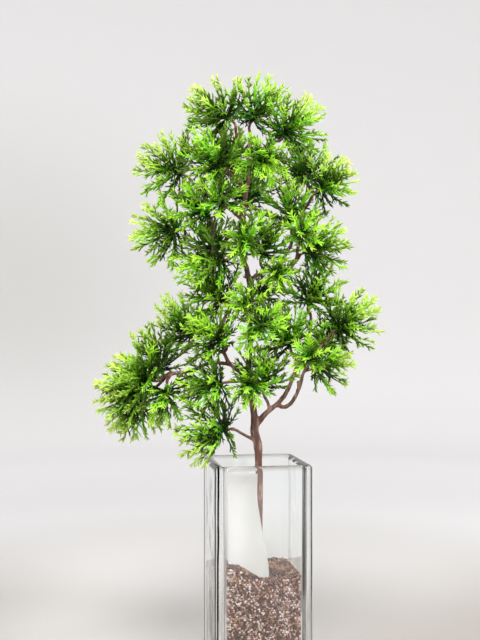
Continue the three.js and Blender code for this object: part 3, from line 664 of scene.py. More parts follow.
def cavity_half(z):
    """Half the cavity's width at a height."""
    rise = (z - VASE_BASE) / (VASE_HEIGHT - VASE_BASE)
    return (CAVITY_FLOOR + (CAVITY_MOUTH - CAVITY_FLOOR) * rise) / 2


def bed_height(x, y):
    """The gravel's top at a place."""
    away = ((x - MOUND_AT[0]) ** 2 + (y - MOUND_AT[1]) ** 2) / MOUND_RADIUS**2
    dip = ((x - DIP_AT[0]) ** 2 + (y - DIP_AT[1]) ** 2) / MOUND_RADIUS**2
    ripple = RIPPLE * noise.noise(Vector((x * RIPPLE_SCALE, y * RIPPLE_SCALE, 3.7)))
    return GRAVEL_LEVEL + MOUND_HEIGHT * math.exp(-away) - DIP_DEPTH * math.exp(-dip) + ripple


def on_round_square(share, half, corner):
    """The place, and the way out, at a share of the way round a square with round corners."""
    straight = 2 * (half - corner)
    arc = math.pi / 2 * corner
    side, along = divmod(share * 4 * (straight + arc), straight + arc)
    if along < straight:
        x, y, way = half, along - straight / 2, 0
    else:
        way = (along - straight) / corner
        x = half - corner + corner * math.cos(way)
        y = half - corner + corner * math.sin(way)
    turn = Matrix.Rotation(math.radians(90) * side, 2)
    return turn @ Vector((x, y)), turn @ Vector((math.cos(way), math.sin(way)))


def slip_edge(z):
    """How far right the slip reaches at a height."""
    heights = [point[1] for point in reversed(SLIP_EDGE)]
    reaches = [point[0] for point in reversed(SLIP_EDGE)]
    near = [np.interp(z + step, heights, reaches) for step in (-5, 0, 5)]
    return 0.25 * near[0] + 0.5 * near[1] + 0.25 * near[2]


def slip_place(x, z):
    """The slip's outer face at a place across and a height, in the branch's frame."""
    centre_x, front_y = SLIP_MIDDLE
    return Vector((x, front_y + SLIP_RADIUS - math.sqrt(SLIP_RADIUS**2 - (x - centre_x) ** 2), z))


def is_free(place, radius):
    """Whether a grain there is clear of the stem and of the slip."""
    x, y, z = BRANCH.inverted() @ Vector(place)
    if z > STEM_FOOT - radius and math.hypot(x, y) < STEM_BORE + radius:
        return False
    centre_x, front_y = SLIP_MIDDLE
    away = math.hypot(x - centre_x, y - front_y - SLIP_RADIUS)
    if z < SLIP_BOTTOM - radius or x < SLIP_LEFT - radius or x > slip_edge(z) + radius or y > 0:
        return True
    return not SLIP_RADIUS - SLIP_DEPTH - radius < away < SLIP_RADIUS + radius


def make_bed():
    """The inside of the gravel, a little smaller than the whole, for the grains to lie on."""
    deselect()
    bpy.ops.mesh.primitive_grid_add(x_subdivisions=30, y_subdivisions=30, size=2)
    bed = bpy.context.object
    half = cavity_half(GRAVEL_LEVEL) - CLEARANCE - BED_SINK
    for vertex in bed.data.vertices:
        x, y = vertex.co.x * half, vertex.co.y * half
        inner = half - CAVITY_CORNER
        over = Vector((max(abs(x) - inner, 0), max(abs(y) - inner, 0)))
        if over.x > 0 and over.y > 0:
            shrink = max(over.x, over.y) / over.length
            x = math.copysign(inner + over.x * shrink, x)
            y = math.copysign(inner + over.y * shrink, y)
        vertex.co = Vector((x, y, bed_height(x, y) - BED_SINK)) * MM
    edit_all()
    extrude(0, 0, -GRAVEL_LEVEL * MM)
    bpy.ops.object.mode_set(mode="OBJECT")
    floor = VASE_BASE + CLEARANCE + BED_SINK
    shrink = (cavity_half(floor) - CLEARANCE - BED_SINK) / half
    for vertex in bed.data.vertices:
        if vertex.select:
            vertex.co = (vertex.co.x * shrink, vertex.co.y * shrink, floor * MM)
    edit_all()
    bpy.ops.mesh.normals_make_consistent(inside=False)
    bpy.ops.object.mode_set(mode="OBJECT")
    return bed


def make_grain(seed, shape):
    """One grain of a millimetre's radius, which others are copies of."""
    deselect()
    bpy.ops.mesh.primitive_ico_sphere_add(subdivisions=1, radius=1)
    grain = bpy.context.object
    edit_all()
    bpy.ops.transform.vertex_random(offset=GRAIN_ROUGHNESS, seed=seed)
    stretch(*shape)
    bpy.ops.object.mode_set(mode="OBJECT")
    return arrays_of(grain)


def stray(draw, most):
    """A random step to either side."""
    return most * draw.uniform(-1, 1)


def wall_places(spacing, draw):
    """Where the grains lie that show through the glass."""
    rows = int((GRAVEL_LEVEL + MOUND_HEIGHT - VASE_BASE) / (spacing * ROW_STEP))
    for row in range(rows):
        z = VASE_BASE + LOWEST_ROW + row * spacing * ROW_STEP
        half = cavity_half(z) - CLEARANCE
        columns = int(8 * half * COLUMN_STEP / spacing)
        for column in range(columns):
            share = (column + 0.5 * (row % 2) + stray(draw, 0.35)) / columns % 1
            place, out = on_round_square(share, half, CAVITY_CORNER)
            height = z + stray(draw, 0.4)
            if height < bed_height(place.x, place.y) - 0.6:
                yield Vector((place.x, place.y, max(height, VASE_BASE + LOWEST_GRAIN))), out


def top_places(spacing, draw):
    """Where the grains of the gravel's top lie."""
    half = cavity_half(GRAVEL_LEVEL) - CLEARANCE - BED_SINK
    cells = int(2 * half / (spacing * CELL_STEP))
    for row in range(cells):
        for column in range(cells):
            x = (row + 0.5 + stray(draw, 0.4)) / cells * 2 - 1
            y = (column + 0.5 + stray(draw, 0.4)) / cells * 2 - 1
            x, y = x * half, y * half
            over = [max(abs(side) - half + TOP_CORNER, 0) for side in (x, y)]
            if math.hypot(*over) < TOP_CORNER:
                yield Vector((x, y, bed_height(x, y) - 0.5 + stray(draw, 0.5)))


# The grains' colours, and the tone from which each of them holds.
GRAIN_COLOURS = {
    0.00: "#b6a8a3", 0.15: "#a68d86", 0.34: "#88675e", 0.48: "#6f463b",
    0.59: "#846238", 0.69: "#4c322a", 0.82: "#362420", 0.92: "#221a19",
}


def gravel_finish():
    """Stones of many colours, each of one colour by its own tone, with a few specks."""
    finish = Finish("mixed_gravel")
    tone = finish.attribute("tone")
    stops = [(place, shade(code)) for place, code in GRAIN_COLOURS.items()]
    ramp = finish.node("ShaderNodeValToRGB", {"stops": stops}, {"Fac": tone})
    ramp.socket.node.color_ramp.interpolation = "CONSTANT"
    speck = finish.noise(900, detail=3, roughness=0.6).between(0.35, 0.7)
    spotted = finish.mix(speck * 0.35, ramp, shade("#6d4a3c"))
    finish.set(base_color=spotted, roughness=0.32)
    finish.bump(finish.noise(1400, detail=2), 0.0003, 0.6)
    return finish


class MakeGravel(bpy.types.Operator):
    """Make the gravel, grain by grain where it shows"""

    bl_idname = "juniper.make_gravel"
    bl_label = "Gravel"

    def execute(self, context):
        settings = context.scene.juniper_gravel
        grain, spacing = settings.grain / MM, settings.spacing / MM
        draw = np.random.default_rng(GRAVEL_SEED)
        shapes = [(1, 1, 0.8), (1.15, 0.9, 0.85), (1, 0.85, 1), (0.9, 1.1, 0.75), (1.05, 1, 0.95)]
        kinds = [make_grain(seed, shape) for seed, shape in enumerate(shapes)]
        heap = Heap("tone")
        spots = list(wall_places(spacing, draw))
        spots += [(place, None) for place in top_places(spacing, draw)]
        turns = turn_matrices(len(spots), draw)
        for (place, out), turn in zip(spots, turns):
            places, triangles = kinds[draw.integers(len(kinds))]
            radius = grain * draw.uniform(*GRAIN_SIZES)
            grown = places @ turn.T * radius
            if out is not None:
                reach = (grown[:, :2] @ np.array(out)).max()
                place = place - Vector((out.x, out.y, 0)) * reach
            if is_free(place, radius):
                patch = 0.5 * noise.noise(Vector(place) * 0.15)
                # Grains on top take the darker tones, as painted shade.
                tone = draw.uniform() if out is not None else draw.uniform(*TOP_PAINTED_SHADE_TONES)
                heap.add(grown + np.array(place), triangles, tone=np.clip(tone + patch, 0, 0.999))
        # The bed shows in the gaps between grains in a dark brown: partly deeper grains, partly
        # painted shade.
        places, triangles = arrays_of(make_bed())
        heap.add(places / MM, triangles, tone=0.75)
        gravel = finished(heap.piece(), "gravel_grains", gravel_finish())
        part_of_object(gravel, "gravel", "gravel")
        return {"FINISHED"}


def slip_finish():
    """Smooth white, with painted shade greying it to the right, where the sheet bends away from the
    light.
    """
    finish = Finish("white_sheet")
    settings = bpy.context.scene.juniper_slip
    cloud = finish.noise(30, detail=2).between(0.3, 0.75)
    place = finish.node("ShaderNodeTexCoord", output="Object")
    right = finish.node("ShaderNodeSeparateXYZ", {}, {"Vector": place}).between(-0.03, -0.004)
    # Painted shade: the sheet is greyed towards #a09d9a at its right edge, where it turns from the
    # light, with a little random mottle.
    painted_shade_and_mottle = right * 0.85 + cloud * 0.15
    tint = finish.mix(painted_shade_and_mottle, tuple(settings.colour), shade("#a09d9a"))
    finish.set(base_color=tint, roughness=0.45)
    finish.bump(finish.noise(120, detail=2), 0.0004, 0.3)
    return finish


class MakeSlip(bpy.types.Operator):
    """Make the curved white slip that stands in front of the stem"""

    bl_idname = "juniper.make_slip"
    bl_label = "Slip"

    def execute(self, context):
        settings = context.scene.juniper_slip
        deselect()
        bpy.ops.mesh.primitive_grid_add(x_subdivisions=28, y_subdivisions=44, size=2)
        slip = bpy.context.object
        for vertex in slip.data.vertices:
            across, up = (vertex.co.x + 1) / 2, (vertex.co.y + 1) / 2
            z = SLIP_BOTTOM + (SLIP_TOP - SLIP_BOTTOM) * up
            x = SLIP_LEFT + (slip_edge(z) - SLIP_LEFT) * across
            vertex.co = (BRANCH @ slip_place(x, z)) * MM
        slip.data.update()
        apply_modifier(slip, "SOLIDIFY", thickness=settings.thickness, offset=-1.0)
        apply_modifier(slip, "BEVEL", width=SLIP_ROUNDING * MM, segments=2, limit_method="ANGLE")
        finished(slip, "curved_slip", slip_finish(), smooth_angle=35)
        part_of_object(slip, "slip", "slip")
        return {"FINISHED"}


def spray_axis(angle, toward):
    """The way a spray points, in the branch's frame."""
    turn, lift = math.radians(angle), math.radians(toward)
    right, up = math.cos(turn) * math.cos(lift), math.sin(turn) * math.cos(lift)
    return Vector((right, -math.sin(lift), up))


def twig_of(spray):
    """The path and radii of the twig that carries a spray, up into its core."""
    _, twig, seat, angle, toward, _ = spray
    axis = spray_axis(angle, toward)
    end = Vector(seat) + axis * TWIG_PLUG
    near = Vector(seat) - axis * (CORE_SEAT + CLEARANCE + TWIG_STRAIGHT)
    path = [*twig, tuple(near), tuple(end)]
    steps = len(path) - 1
    return path, [TWIG_ROOT + (TWIG_END - TWIG_ROOT) * step / steps for step in range(len(path))]


def all_wood():
    """The path and radii of the trunk, of each limb and of each twig."""
    limbs = [([row[:3] for row in limb], [row[3] for row in limb]) for limb in (TRUNK, *LIMBS)]
    return [*limbs, *map(twig_of, SPRAYS)]


def add_rod(path, radii):
    """A round rod along a smooth curve through the path's places, with a radius at each."""
    deselect()
    bpy.ops.curve.primitive_bezier_curve_add()
    rod = bpy.context.object
    curve = rod.data
    curve.splines.clear()
    spline = curve.splines.new("BEZIER")
    spline.bezier_points.add(len(path) - 1)
    for point, place, radius in zip(spline.bezier_points, path, radii):
        point.co = Vector(place) * MM
        point.radius = radius
        point.handle_left_type = point.handle_right_type = "AUTO"
    curve.bevel_depth = MM
    curve.bevel_resolution = 3
    curve.resolution_u = 5
    curve.use_fill_caps = True
    bpy.ops.object.convert(target="MESH")
    return bpy.context.object


def knobble(piece):
    """Gives the moulded wood its long ridges and knots."""
    vertices = piece.data.vertices
    places = np.empty(len(vertices) * 3)
    outwards = np.empty(len(vertices) * 3)
    vertices.foreach_get("co", places)
    vertices.foreach_get("normal", outwards)
    swells = []
    for place in places.reshape(-1, 3) / MM:
        ridge = noise.noise(Vector(place * (0.9, 0.9, 0.12)))
        knot = noise.noise(Vector(place * 0.16))
        swells.append(RIDGE * ridge + KNOT * max(knot, 0))
    places += outwards * np.repeat(swells, 3) * MM
    vertices.foreach_set("co", places)
    piece.data.update()


def stem_finish():
    """Brown plastic with a long grain, paler in streaks and with a thin gloss; the pale streaks are
    partly its own colour and partly painted highlight.
    """
    finish = Finish("moulded_wood")
    settings = bpy.context.scene.juniper_stem
    grain = finish.noise(420, detail=4, roughness=0.6, stretch=(1, 1, 0.13))
    patch = finish.noise(70, detail=3)
    pale = (grain * 0.6 + patch * 0.55).between(0.56, 0.72)
    # Painted highlight: the pale streaks are light enough to stand in for the bark's highlights as
    # well as its paler colour.
    base = finish.mix(pale * 0.75, tuple(settings.bark), tuple(settings.pale_streaks))
    dark = finish.mix((1 - grain).between(0.5, 0.72) * 0.6, base, shade("#3a231b"))
    finish.set(base_color=dark, roughness=0.32, coat_weight=0.25, coat_roughness=0.25)
    finish.bump(grain, 0.0013, 0.8)
    return finish


class MakeStem(bpy.types.Operator):
    """Make the moulded wood: the trunk, its limbs and the twigs that carry the sprays"""

    bl_idname = "juniper.make_stem"
    bl_label = "Stem"

    def execute(self, context):
        settings = context.scene.juniper_stem
        rods = [add_rod(path, radii) for path, radii in all_wood()]
        deselect()
        for rod in rods:
            rod.select_set(True)
        context.view_layer.objects.active = rods[0]
        bpy.ops.object.join()
        stem = context.object
        apply_modifier(stem, "REMESH", mode="VOXEL", voxel_size=settings.voxel)
        apply_modifier(stem, "SMOOTH", factor=0.5, iterations=3)
        knobble(stem)
        stem.data.transform(Matrix.Translation(BRANCH.translation * MM) @ BRANCH.to_3x3().to_4x4())
        finished(stem, "moulded_stem", stem_finish(), smooth_angle=180)
        part_of_object(stem, "stem", "stem")
        return {"FINISHED"}


def make_blade(sides, rings):
    """A closed blade one long along X, with a half width of one, that needles are copies of."""
    deselect()
    bpy.ops.mesh.primitive_cylinder_add(
        vertices=sides, radius=1, depth=1, rotation=(0, math.pi / 2, 0)
    )
    blade = bpy.context.object
    bpy.ops.object.transform_apply(location=True, rotation=True, scale=True)
    blade.data.transform(Matrix.Diagonal((rings[0][0], rings[0][1], rings[0][1], 1)))
    blade.data.transform(Matrix.Translation((rings[0][0] / 2, 0, 0)))
    bpy.ops.object.mode_set(mode="EDIT")
    choose(blade, "FACE", lambda face, mesh: face.normal.x < -0.9)
    stretch(1, 1 / rings[0][1], 1 / rings[0][1])
    choose(blade, "FACE", lambda face, mesh: face.normal.x > 0.9)
    place, width = rings[0]
    for next_place, next_width in rings[1:]:
        extrude(next_place - place, 0, 0)
        if next_width:
            stretch(1, next_width / width, next_width / width)
        else:
            bpy.ops.mesh.merge(type="CENTER")
        place, width = next_place, next_width
    bpy.ops.object.mode_set(mode="OBJECT")
    return arrays_of(blade)


class Wood:
    """The middles and radii of the trunk, limbs and twigs, to keep the needles clear of them."""

    def __init__(self):
        starts, ends, radii = [], [], []
        for path, thickness in all_wood():
            for i in range(len(path) - 1):
                starts.append(path[i])
                ends.append(path[i + 1])
                radii.append(max(thickness[i], thickness[i + 1]))
        self.starts = np.array(starts, dtype=float)
        self.spans = np.array(ends, dtype=float) - self.starts
        self.radii = np.array(radii)

    def gap(self, places):
        """The smallest gap between any of these places and the wood."""
        away = places[:, None, :] - self.starts
        share = (away * self.spans).sum(2) / (self.spans**2).sum(1)
        away = away - np.clip(share, 0, 1)[..., None] * self.spans
        return (np.linalg.norm(away, axis=2) - self.radii).min()


ARM_BEND = 0.17  # how far an arm bends back towards the axis, as a share of its length
FULL_ARM = 30  # the length from which an arm has needles of full length
FORKED, TWICE_FORKED = 6.5, 8.6  # needles that are longer have one fork, or two
RIM_ROOM = 3  # how far above the vase's rim the needles keep
WOOD_ROOM = 1.5  # how far from the wood they keep

# Half widths and half thicknesses of an arm's stalk, side needles and their forks, and its tip.
STALK, SIDE, FORK, TIP = (0.82, 0.66), (0.76, 0.58), (0.68, 0.54), (0.7, 0.54)

# Where along an arm its side needles stand, and their lengths on a long arm.
SIDE_NEEDLES = [
    (0.14, 7.5), (0.24, 8.8), (0.34, 9.4), (0.44, 9.6), (0.54, 9.2),
    (0.64, 8.4), (0.73, 7.6), (0.81, 6.8), (0.88, 5.8),
]
# Arms, lean from the spray's axis, start along it, and length.
FULL_WHORLS = [(6, 112, -0.5, 0.66), (10, 86, 0, 1), (9, 60, 1.5, 1.03), (6, 32, 3.5, 1.02)]
SMALL_WHORLS = [(5, 108, -0.5, 0.85), (9, 80, 0, 1.12), (6, 48, 1.5, 1.12)]
TIP_PAIR = 0.93, 4.6  # where the last two side needles stand on an arm, and their length
TIP_NEEDLE = 0.84, 5  # where the needle at an arm's tip starts, and its length
PLANT_MIDDLE = -5, 0, 300
OTHER_LIME = 0.15
# How young, and so how yellow, each outer spray is. The others have the number above.
LIME = {
    "crown_left": 0.8, "crown_top": 0.75, "crown_right": 0.7, "upper_left": 0.85,
    "left_out": 0.8, "upper_right_out": 0.85, "right_out": 0.6, "right_far": 0.85,
    "right_low": 0.6, "left_low_up": 0.7, "left_low_front": 0.7, "left_end": 0.9,
    "left_end_down": 0.85, "left_low_down": 0.45,
    "lowest_left": 0.85, "left_middle_out": 0.8, "left_middle": 0.35, "upper_right": 0.5,
    "right_middle": 0.5, "shoulder_left": 0.4, "right_high": 0.5, "low_left": 0.4,
}


def unit(vector):
    return vector / np.linalg.norm(vector)


def on_arm(start, way, up, length, share):
    """The place at a share of the way along an arm, which bends up towards the axis."""
    return start + way * length * share + up * ARM_BEND * length * share**2


class SprayGrower:
    """Grows the needles of one spray."""

    def __init__(self, spray, index, blades, wood):
        self.name, _, seat, angle, toward, self.reach = spray
        self.seat = np.array(seat, dtype=float)
        self.axis = np.array(spray_axis(angle, toward))
        self.draw = np.random.default_rng(SPRAY_SEED + index)
        self.blades = blades
        self.wood = wood
        self.lime = LIME.get(self.name, OTHER_LIME)
        self.arm_tone = 0.5
        self.outward = unit((self.seat - PLANT_MIDDLE) * (1, 0.3, 0.8))
        self.heap = Heap("along", "lime", "vary")
        self.place = np.array(BRANCH.to_3x3()), np.array(BRANCH.translation)

    def clear(self, places):
        """Whether an arm's outer part is clear of the wood and over the vase's rim."""
        turn, shift = self.place
        placed = places @ turn.T + shift
        over = (np.abs(placed[:, :2]) < VASE_WIDTH / 2 + 5).all(axis=1)
        if (placed[over, 2] < VASE_HEIGHT + RIM_ROOM).any():
            return False
        return self.wood.gap(places[2:]) > WOOD_ROOM

    def lay(self, kind, start, way, across, size, bend, lime, part):
        """Adds a copy of a blade of a length, half width and half thickness, bent at its tip."""
        places, triangles = self.blades[kind]
        length, half, thick = size
        across = unit(across - way * (across @ way))
        up = np.cross(way, across)
        x = places[:, 0:1]
        laid = start + way * x * length
        laid = laid + across * places[:, 1:2] * half + up * places[:, 2:3] * thick
        laid = laid + bend * length * x**2
        turn, shift = self.place
        out = np.linalg.norm(laid - self.seat, axis=1) / self.reach
        along = np.clip(0.72 * out + 0.28 * part * places[:, 0], 0, 1)
        vary = 0.8 * self.arm_tone + 0.2 * self.draw.uniform()
        self.heap.add(laid @ turn.T + shift, triangles, along=along, lime=lime, vary=vary)

    def arm(self, start, way, length):
        """One arm: a stalk that bends back towards the axis, with needles on both sides of it."""
        across = unit(np.cross(self.axis, way))
        up = np.cross(way, across)
        up = up * (1 if up @ self.axis >= 0 else -1)
        lime = self.lime * (0.62 + 0.45 * (way @ self.outward)) + 0.1 * self.draw.normal()
        lime = min(max(lime, 0), 1)
        # A random tone for the arm: the needles' material paints shade on arms whose tone is low.
        self.arm_tone = self.draw.uniform()
        self.lay("stalk", start, way, across, (length, *STALK), up * ARM_BEND, lime, 1)
        side = 1 if self.draw.uniform() < 0.5 else -1
        for share, needle in SIDE_NEEDLES:
            side = -side
            share = share + 0.02 * self.draw.normal()
            long = needle * min(1, length / FULL_ARM) * self.draw.uniform(0.92, 1.2)
            self.side_needle(start, way, across, up, length, share, side, long, lime)
        share, long = TIP_PAIR
        for side in (-1, 1):
            self.side_needle(start, way, across, up, length, share, side, long, lime)
        share, long = TIP_NEEDLE
        root = on_arm(start, way, up, length, share)
        rising = unit(way + up * (0.75 if self.draw.uniform() < 0.6 else -0.45))
        self.lay("needle", root, rising, across, (long, *TIP), up * 0, lime, 1)

    def side_needle(self, start, way, across, up, length, share, side, long, lime):
        """One needle at a share of an arm's length, forked once or twice if it is long."""
        root = on_arm(start, way, up, length, share)
        forward = unit(way + up * 0.34 * share)
        angle = math.radians(46 - 8 * share + 5 * self.draw.normal())
        tilt = 0.27 * self.draw.normal()
        heading = unit(forward * math.cos(angle) + across * side * math.sin(angle) + up * tilt)
        self.lay("needle", root, heading, across, (long, *SIDE), up * 0.08, lime, 1)
        if long > FORKED:
            middle = root + heading * long * 0.42
            inward = unit(heading * 0.8 - across * side * 0.5 + up * tilt)
            self.lay("needle", middle, inward, across, (long * 0.5, *FORK), up * 0.05, lime, 1)
        if long > TWICE_FORKED:
            near = root + heading * long * 0.3
            outward = unit(heading * 0.75 + across * side * 0.5 - up * tilt)
            self.lay("needle", near, outward, across, (long * 0.45, *FORK), up * 0.05, lime, 1)

    def grow(self):
        """The whole spray, as a heap of blades."""
        whorls = SMALL_WHORLS if self.reach < SMALL_REACH else FULL_WHORLS
        first = unit(np.cross(self.axis, (0.13, 0.99, 0.09)))
        second = np.cross(self.axis, first)
        for ring, (count, lean, start, length) in enumerate(whorls):
            phase = self.draw.uniform(0, math.tau)
            for i in range(count):
                turn = phase + (i + ring / 3) * math.tau / count
                self.try_arm(first, second, turn, lean, start, length)
        self.grow_further()
        self.core()
        return self.heap

    def upward(self, way):
        """The way that an arm bends: square to it, towards the axis."""
        return unit(self.axis - way * (way @ self.axis))

    def grow_further(self):
        """Arms that end at places of their own."""
        for end in FURTHER_ARMS.get(self.name, []):
            root = self.seat + self.axis * 2
            way = np.array(end) - root
            length = np.linalg.norm(way)
            way = way / length
            self.arm(root, unit(way - self.upward(way) * 0.12), length)

    def try_arm(self, first, second, turn, lean, start, length):
        """Lays an arm clear of the wood, a little turned, raised or shortened if it must be."""
        turn += math.radians(5) * self.draw.normal()
        lean += 4 * self.draw.normal()
        root = self.seat + self.axis * (1.5 + start)
        for raised, turned, kept in DODGES:
            angle, around = math.radians(lean - raised), turn + math.radians(turned)
            out = first * math.cos(around) + second * math.sin(around)
            way = self.axis * math.cos(angle) + out * math.sin(angle)
            long = (self.reach - 1.5) * length * kept * self.draw.uniform(0.93, 1.0)
            up = self.upward(way)
            shares = np.linspace(0.1, 1, 8)[:, None]
            if self.clear(on_arm(root, way, up, long, shares)):
                self.arm(root, way, long)
                return

    def core(self):
        """The slim core that the arms grow from, and the leader at its tip."""
        across = unit(np.cross(self.axis, (0.3, 0.2, 0.9)))
        size = (CORE_LENGTH + CORE_SEAT, CORE_RADIUS, CORE_RADIUS)
        foot = self.seat - self.axis * CORE_SEAT
        self.lay("stalk", foot, self.axis, across, size, across * 0, 0, 0)
        tip = self.seat + self.axis * (CORE_LENGTH - 2)
        path = tip + self.axis * self.reach * np.linspace(0, 0.8, 6)[:, None]
        if self.clear(path):
            self.arm(tip, unit(self.axis + across * 0.05), self.reach * 0.72)


# Where further arms of some sprays end, in the branch's frame, to match the real outline.
FURTHER_ARMS = {
    "crown_left": [
        (-58, -4, 481), (-59, -18, 485), (-57, -12, 477), (-60, -6, 497), (-50, -14, 505),
    ],
    "crown_right": [(50, -8, 492), (40, -2, 499), (34, 2, 496), (5, -8, 470), (9, -2, 464)],
    "crown_top": [(16, 8, 513), (23, 6, 506), (22, 2, 511)],
    "upper_right": [(54, 8, 412)],
    "upper_back": [(12, 16, 416)],
    "left_in": [(-10, -2, 361), (-14, -8, 370)],
    "upper_left": [
        (-78, 6, 466), (-56, 10, 478), (-83, 12, 472), (-72, 8, 474), (-93, 14, 466), (-59, 4, 467),
        (-97, 10, 450),
    ],
    "left_middle_out": [(-84, 16, 336), (-76, 12, 340), (-88, 10, 328)],
    "middle_right": [(33, 2, 330), (27, 8, 326), (40, 6, 322)],
    "trunk_front_low": [(-16, -22, 300), (-17, -24, 292), (-11, -26, 287)],
    "low_middle": [(25, -5, 286), (-19, -8, 292)],
    "right_low": [(78, 6, 290), (72, 1, 294)],
    "low_left": [
        (-50, -12, 291), (-42, -16, 295), (-59, -16, 269), (-57, -12, 258), (-61, -8, 250),
    ],
    "left_low_down": [(-58, -12, 264), (-63, -8, 272), (-56, -16, 272)],
    "trunk_front_high": [(4, -22, 403), (-5, -24, 408), (-20, -24, 363), (-13, -26, 359)],
    "right_high": [(46, 6, 416), (52, 8, 407)],
    "upper_right_out": [(54, -6, 402), (45, -4, 406), (67, -10, 450)],
    "right_out": [(54, -6, 355), (56, -12, 362), (61, -6, 402), (65, -10, 396)],
    "right_middle": [(55, 6, 346), (35, 4, 346), (68, 12, 343)],
    "right_far": [(98, -4, 334), (101, -8, 325), (97, -4, 316)],
    "lowest_left": [
        (-20, -6, 249), (-29, -10, 251), (-15, -12, 242), (-57, -4, 243), (-50, -2, 247),
    ],
    "left_end": [(-130, -2, 262), (-128, 2, 273)],
    "left_low_up": [(-100, 10, 308), (-93, 14, 312)],
    "left_out": [(-98, 6, 403), (-92, 2, 410), (-87, 2, 362), (-80, 6, 366)],
}

# What an arm tries in turn where wood is in its way: degrees raised, degrees turned, length kept.
DODGES = [(0, 0, 1), (12, 0, 1), (0, 12, 1), (0, -12, 1), (24, 0, 1), (0, 0, 0.75), (24, 0, 0.7)]


def foliage_finish():
    """Green plastic, from nearly black at the core, partly its darker moulding and partly painted
    shade, to yellow at the youngest tips, with painted shade on arms chosen at random.
    """
    finish = Finish("juniper_needles")
    settings = bpy.context.scene.juniper_foliage
    along, lime, vary = (finish.attribute(name) for name in ("along", "lime", "vary"))
    cloud = finish.noise(260, detail=2)
    reach = along + (vary - 0.5) * 0.12 + (cloud - 0.5) * 0.14
    # Near the core the needles are painted nearly black: partly their darker moulding, partly
    # painted shade.
    green = finish.mix(reach.between(0.28, 0.76), tuple(settings.inner), tuple(settings.middle))
    fresh = finish.mix(reach.between(0.55, 0.95), green, tuple(settings.outer))
    young = (reach * 1.1 + lime * 0.55).between(1.02, 1.42)
    tipped = finish.mix(young, fresh, tuple(settings.tips))
    fresher = finish.mix(vary.between(0.6, 0.85) * 0.35, tipped, shade("#56c41e"))
    # Painted shade: arms with a low random tone are darkened to #213d05, less so at their young
    # tips.
    painted_shade_share = (1 - vary).between(0.5, 0.72) * (1 - young * 0.8)
    shaded = finish.mix(painted_shade_share * 0.82, fresher, shade("#213d05"))
    finish.set(base_color=shaded, roughness=0.5, specular_ior_level=0.2)
    finish.bump(finish.noise(1500, detail=1), 0.0002, 0.35)
    return finish


class MakeSprays(bpy.types.Operator):
    """Make the sprays of needles"""

    bl_idname = "juniper.make_sprays"
    bl_label = "Sprays"

    def execute(self, context):
        finish = foliage_finish()
        blades = {
            "stalk": make_blade(5, [(0.3, 1), (0.65, 0.9), (0.9, 0.74), (1, 0)]),
            "needle": make_blade(4, [(0.5, 0.84), (1, 0)]),
        }
        wood = Wood()
        for index, spray in enumerate(SPRAYS):
            heap = SprayGrower(spray, index, blades, wood).grow()
            piece = finished(heap.piece(), f"needles_{spray[0]}", finish, smooth_angle=60)
            part_of_object(piece, "foliage", f"spray_{spray[0]}")
        return {"FINISHED"}


def add_area(name, place, size, power):
    """A soft white light that the camera doesn't see."""
    bpy.ops.object.light_add(type="AREA", location=place)
    light = bpy.context.object
    light.name = name
    light.data.shape = "RECTANGLE"
    light.data.size, light.data.size_y = size
    light.data.energy = power
    light.rotation_euler = (Vector(LIT) - Vector(place)).to_track_quat("-Z", "Y").to_euler()
    light.visible_camera = False


# Painted light and shade on floor and wall: middle, inner and outer radius, share, colour.
# The first two are painted light that keeps the backdrop even behind the foliage's shadows, and the
# last is a painted shadow on the wall.
LIGHT_AND_SHADE_PATCHES = [
    ((0.06, 0.5, 0), 0.05, 0.42, 0.95, "#dddbd9"),
    ((-0.14, 0.22, 0), 0.03, 0.2, 0.6, "#cccac8"),
    ((-0.32, 2.27, 0.35), 0.1, 0.75, 0.5, "#c4c4be"),
]


def stage_finish():
    """Pale paint with painted shade and light: a little greyer near the vase, where the key light
    is strongest, lighter further out, and with patches of painted light and shadow.
    """
    finish = Finish("pale_backdrop")
    settings = bpy.context.scene.juniper_stage
    away = finish.distance((0, 0, 0))
    # Painted shade and light: the floor is painted grey near the vase and lighter further out,
    # before it meets the wall's colour.
    ground = finish.mix(away.between(0.3, 0.9), shade("#a7a29d"), shade("#dedddd"))
    ground = finish.mix(away.between(0.85, 1.5), ground, shade("#f0efef"))
    ground = finish.mix(away.between(1.95, 2.25), ground, tuple(settings.backdrop))
    # Patches of painted light over the foliage's shadows, and a painted shadow on the wall.
    for place, inner, outer, share, tone in LIGHT_AND_SHADE_PATCHES:
        inside = 1 - finish.distance(place).between(inner, outer)
        ground = finish.mix(inside * share, ground, shade(tone))
    finish.set(base_color=ground, roughness=0.85, specular_ior_level=0.1)
    return finish


# Sizes of the stage, in metres.
FLOOR_RADIUS, SWEEP_RADIUS, WALL_HEIGHT = 1.6, 0.6, 1.9
SWEEP_STEPS = 12
LIT = (0, 0, 0.25)  # where both lights point
SIDE_SHARE, SKY = 0.3, 0.62  # the side light's share of the key's power, and the sky's strength


def make_floor():
    """A pale floor that sweeps up into a wall all round."""
    deselect()
    bpy.ops.mesh.primitive_circle_add(
        vertices=128, radius=FLOOR_RADIUS, fill_type="NGON", location=(0, 0, -0.0006)
    )
    floor = bpy.context.object
    edit_all()
    radius = FLOOR_RADIUS
    for step in range(SWEEP_STEPS):
        before, turn = (math.radians(90 * part / SWEEP_STEPS) for part in (step, step + 1))
        rise = SWEEP_RADIUS * (math.cos(before) - math.cos(turn))
        extrude(0, 0, rise)
        wider = FLOOR_RADIUS + SWEEP_RADIUS * math.sin(turn)
        stretch(wider / radius, wider / radius, 1)
        radius = wider
    extrude(0, 0, WALL_HEIGHT)
    bpy.ops.mesh.delete(type="ONLY_FACE")
    bpy.ops.object.mode_set(mode="OBJECT")
    return floor


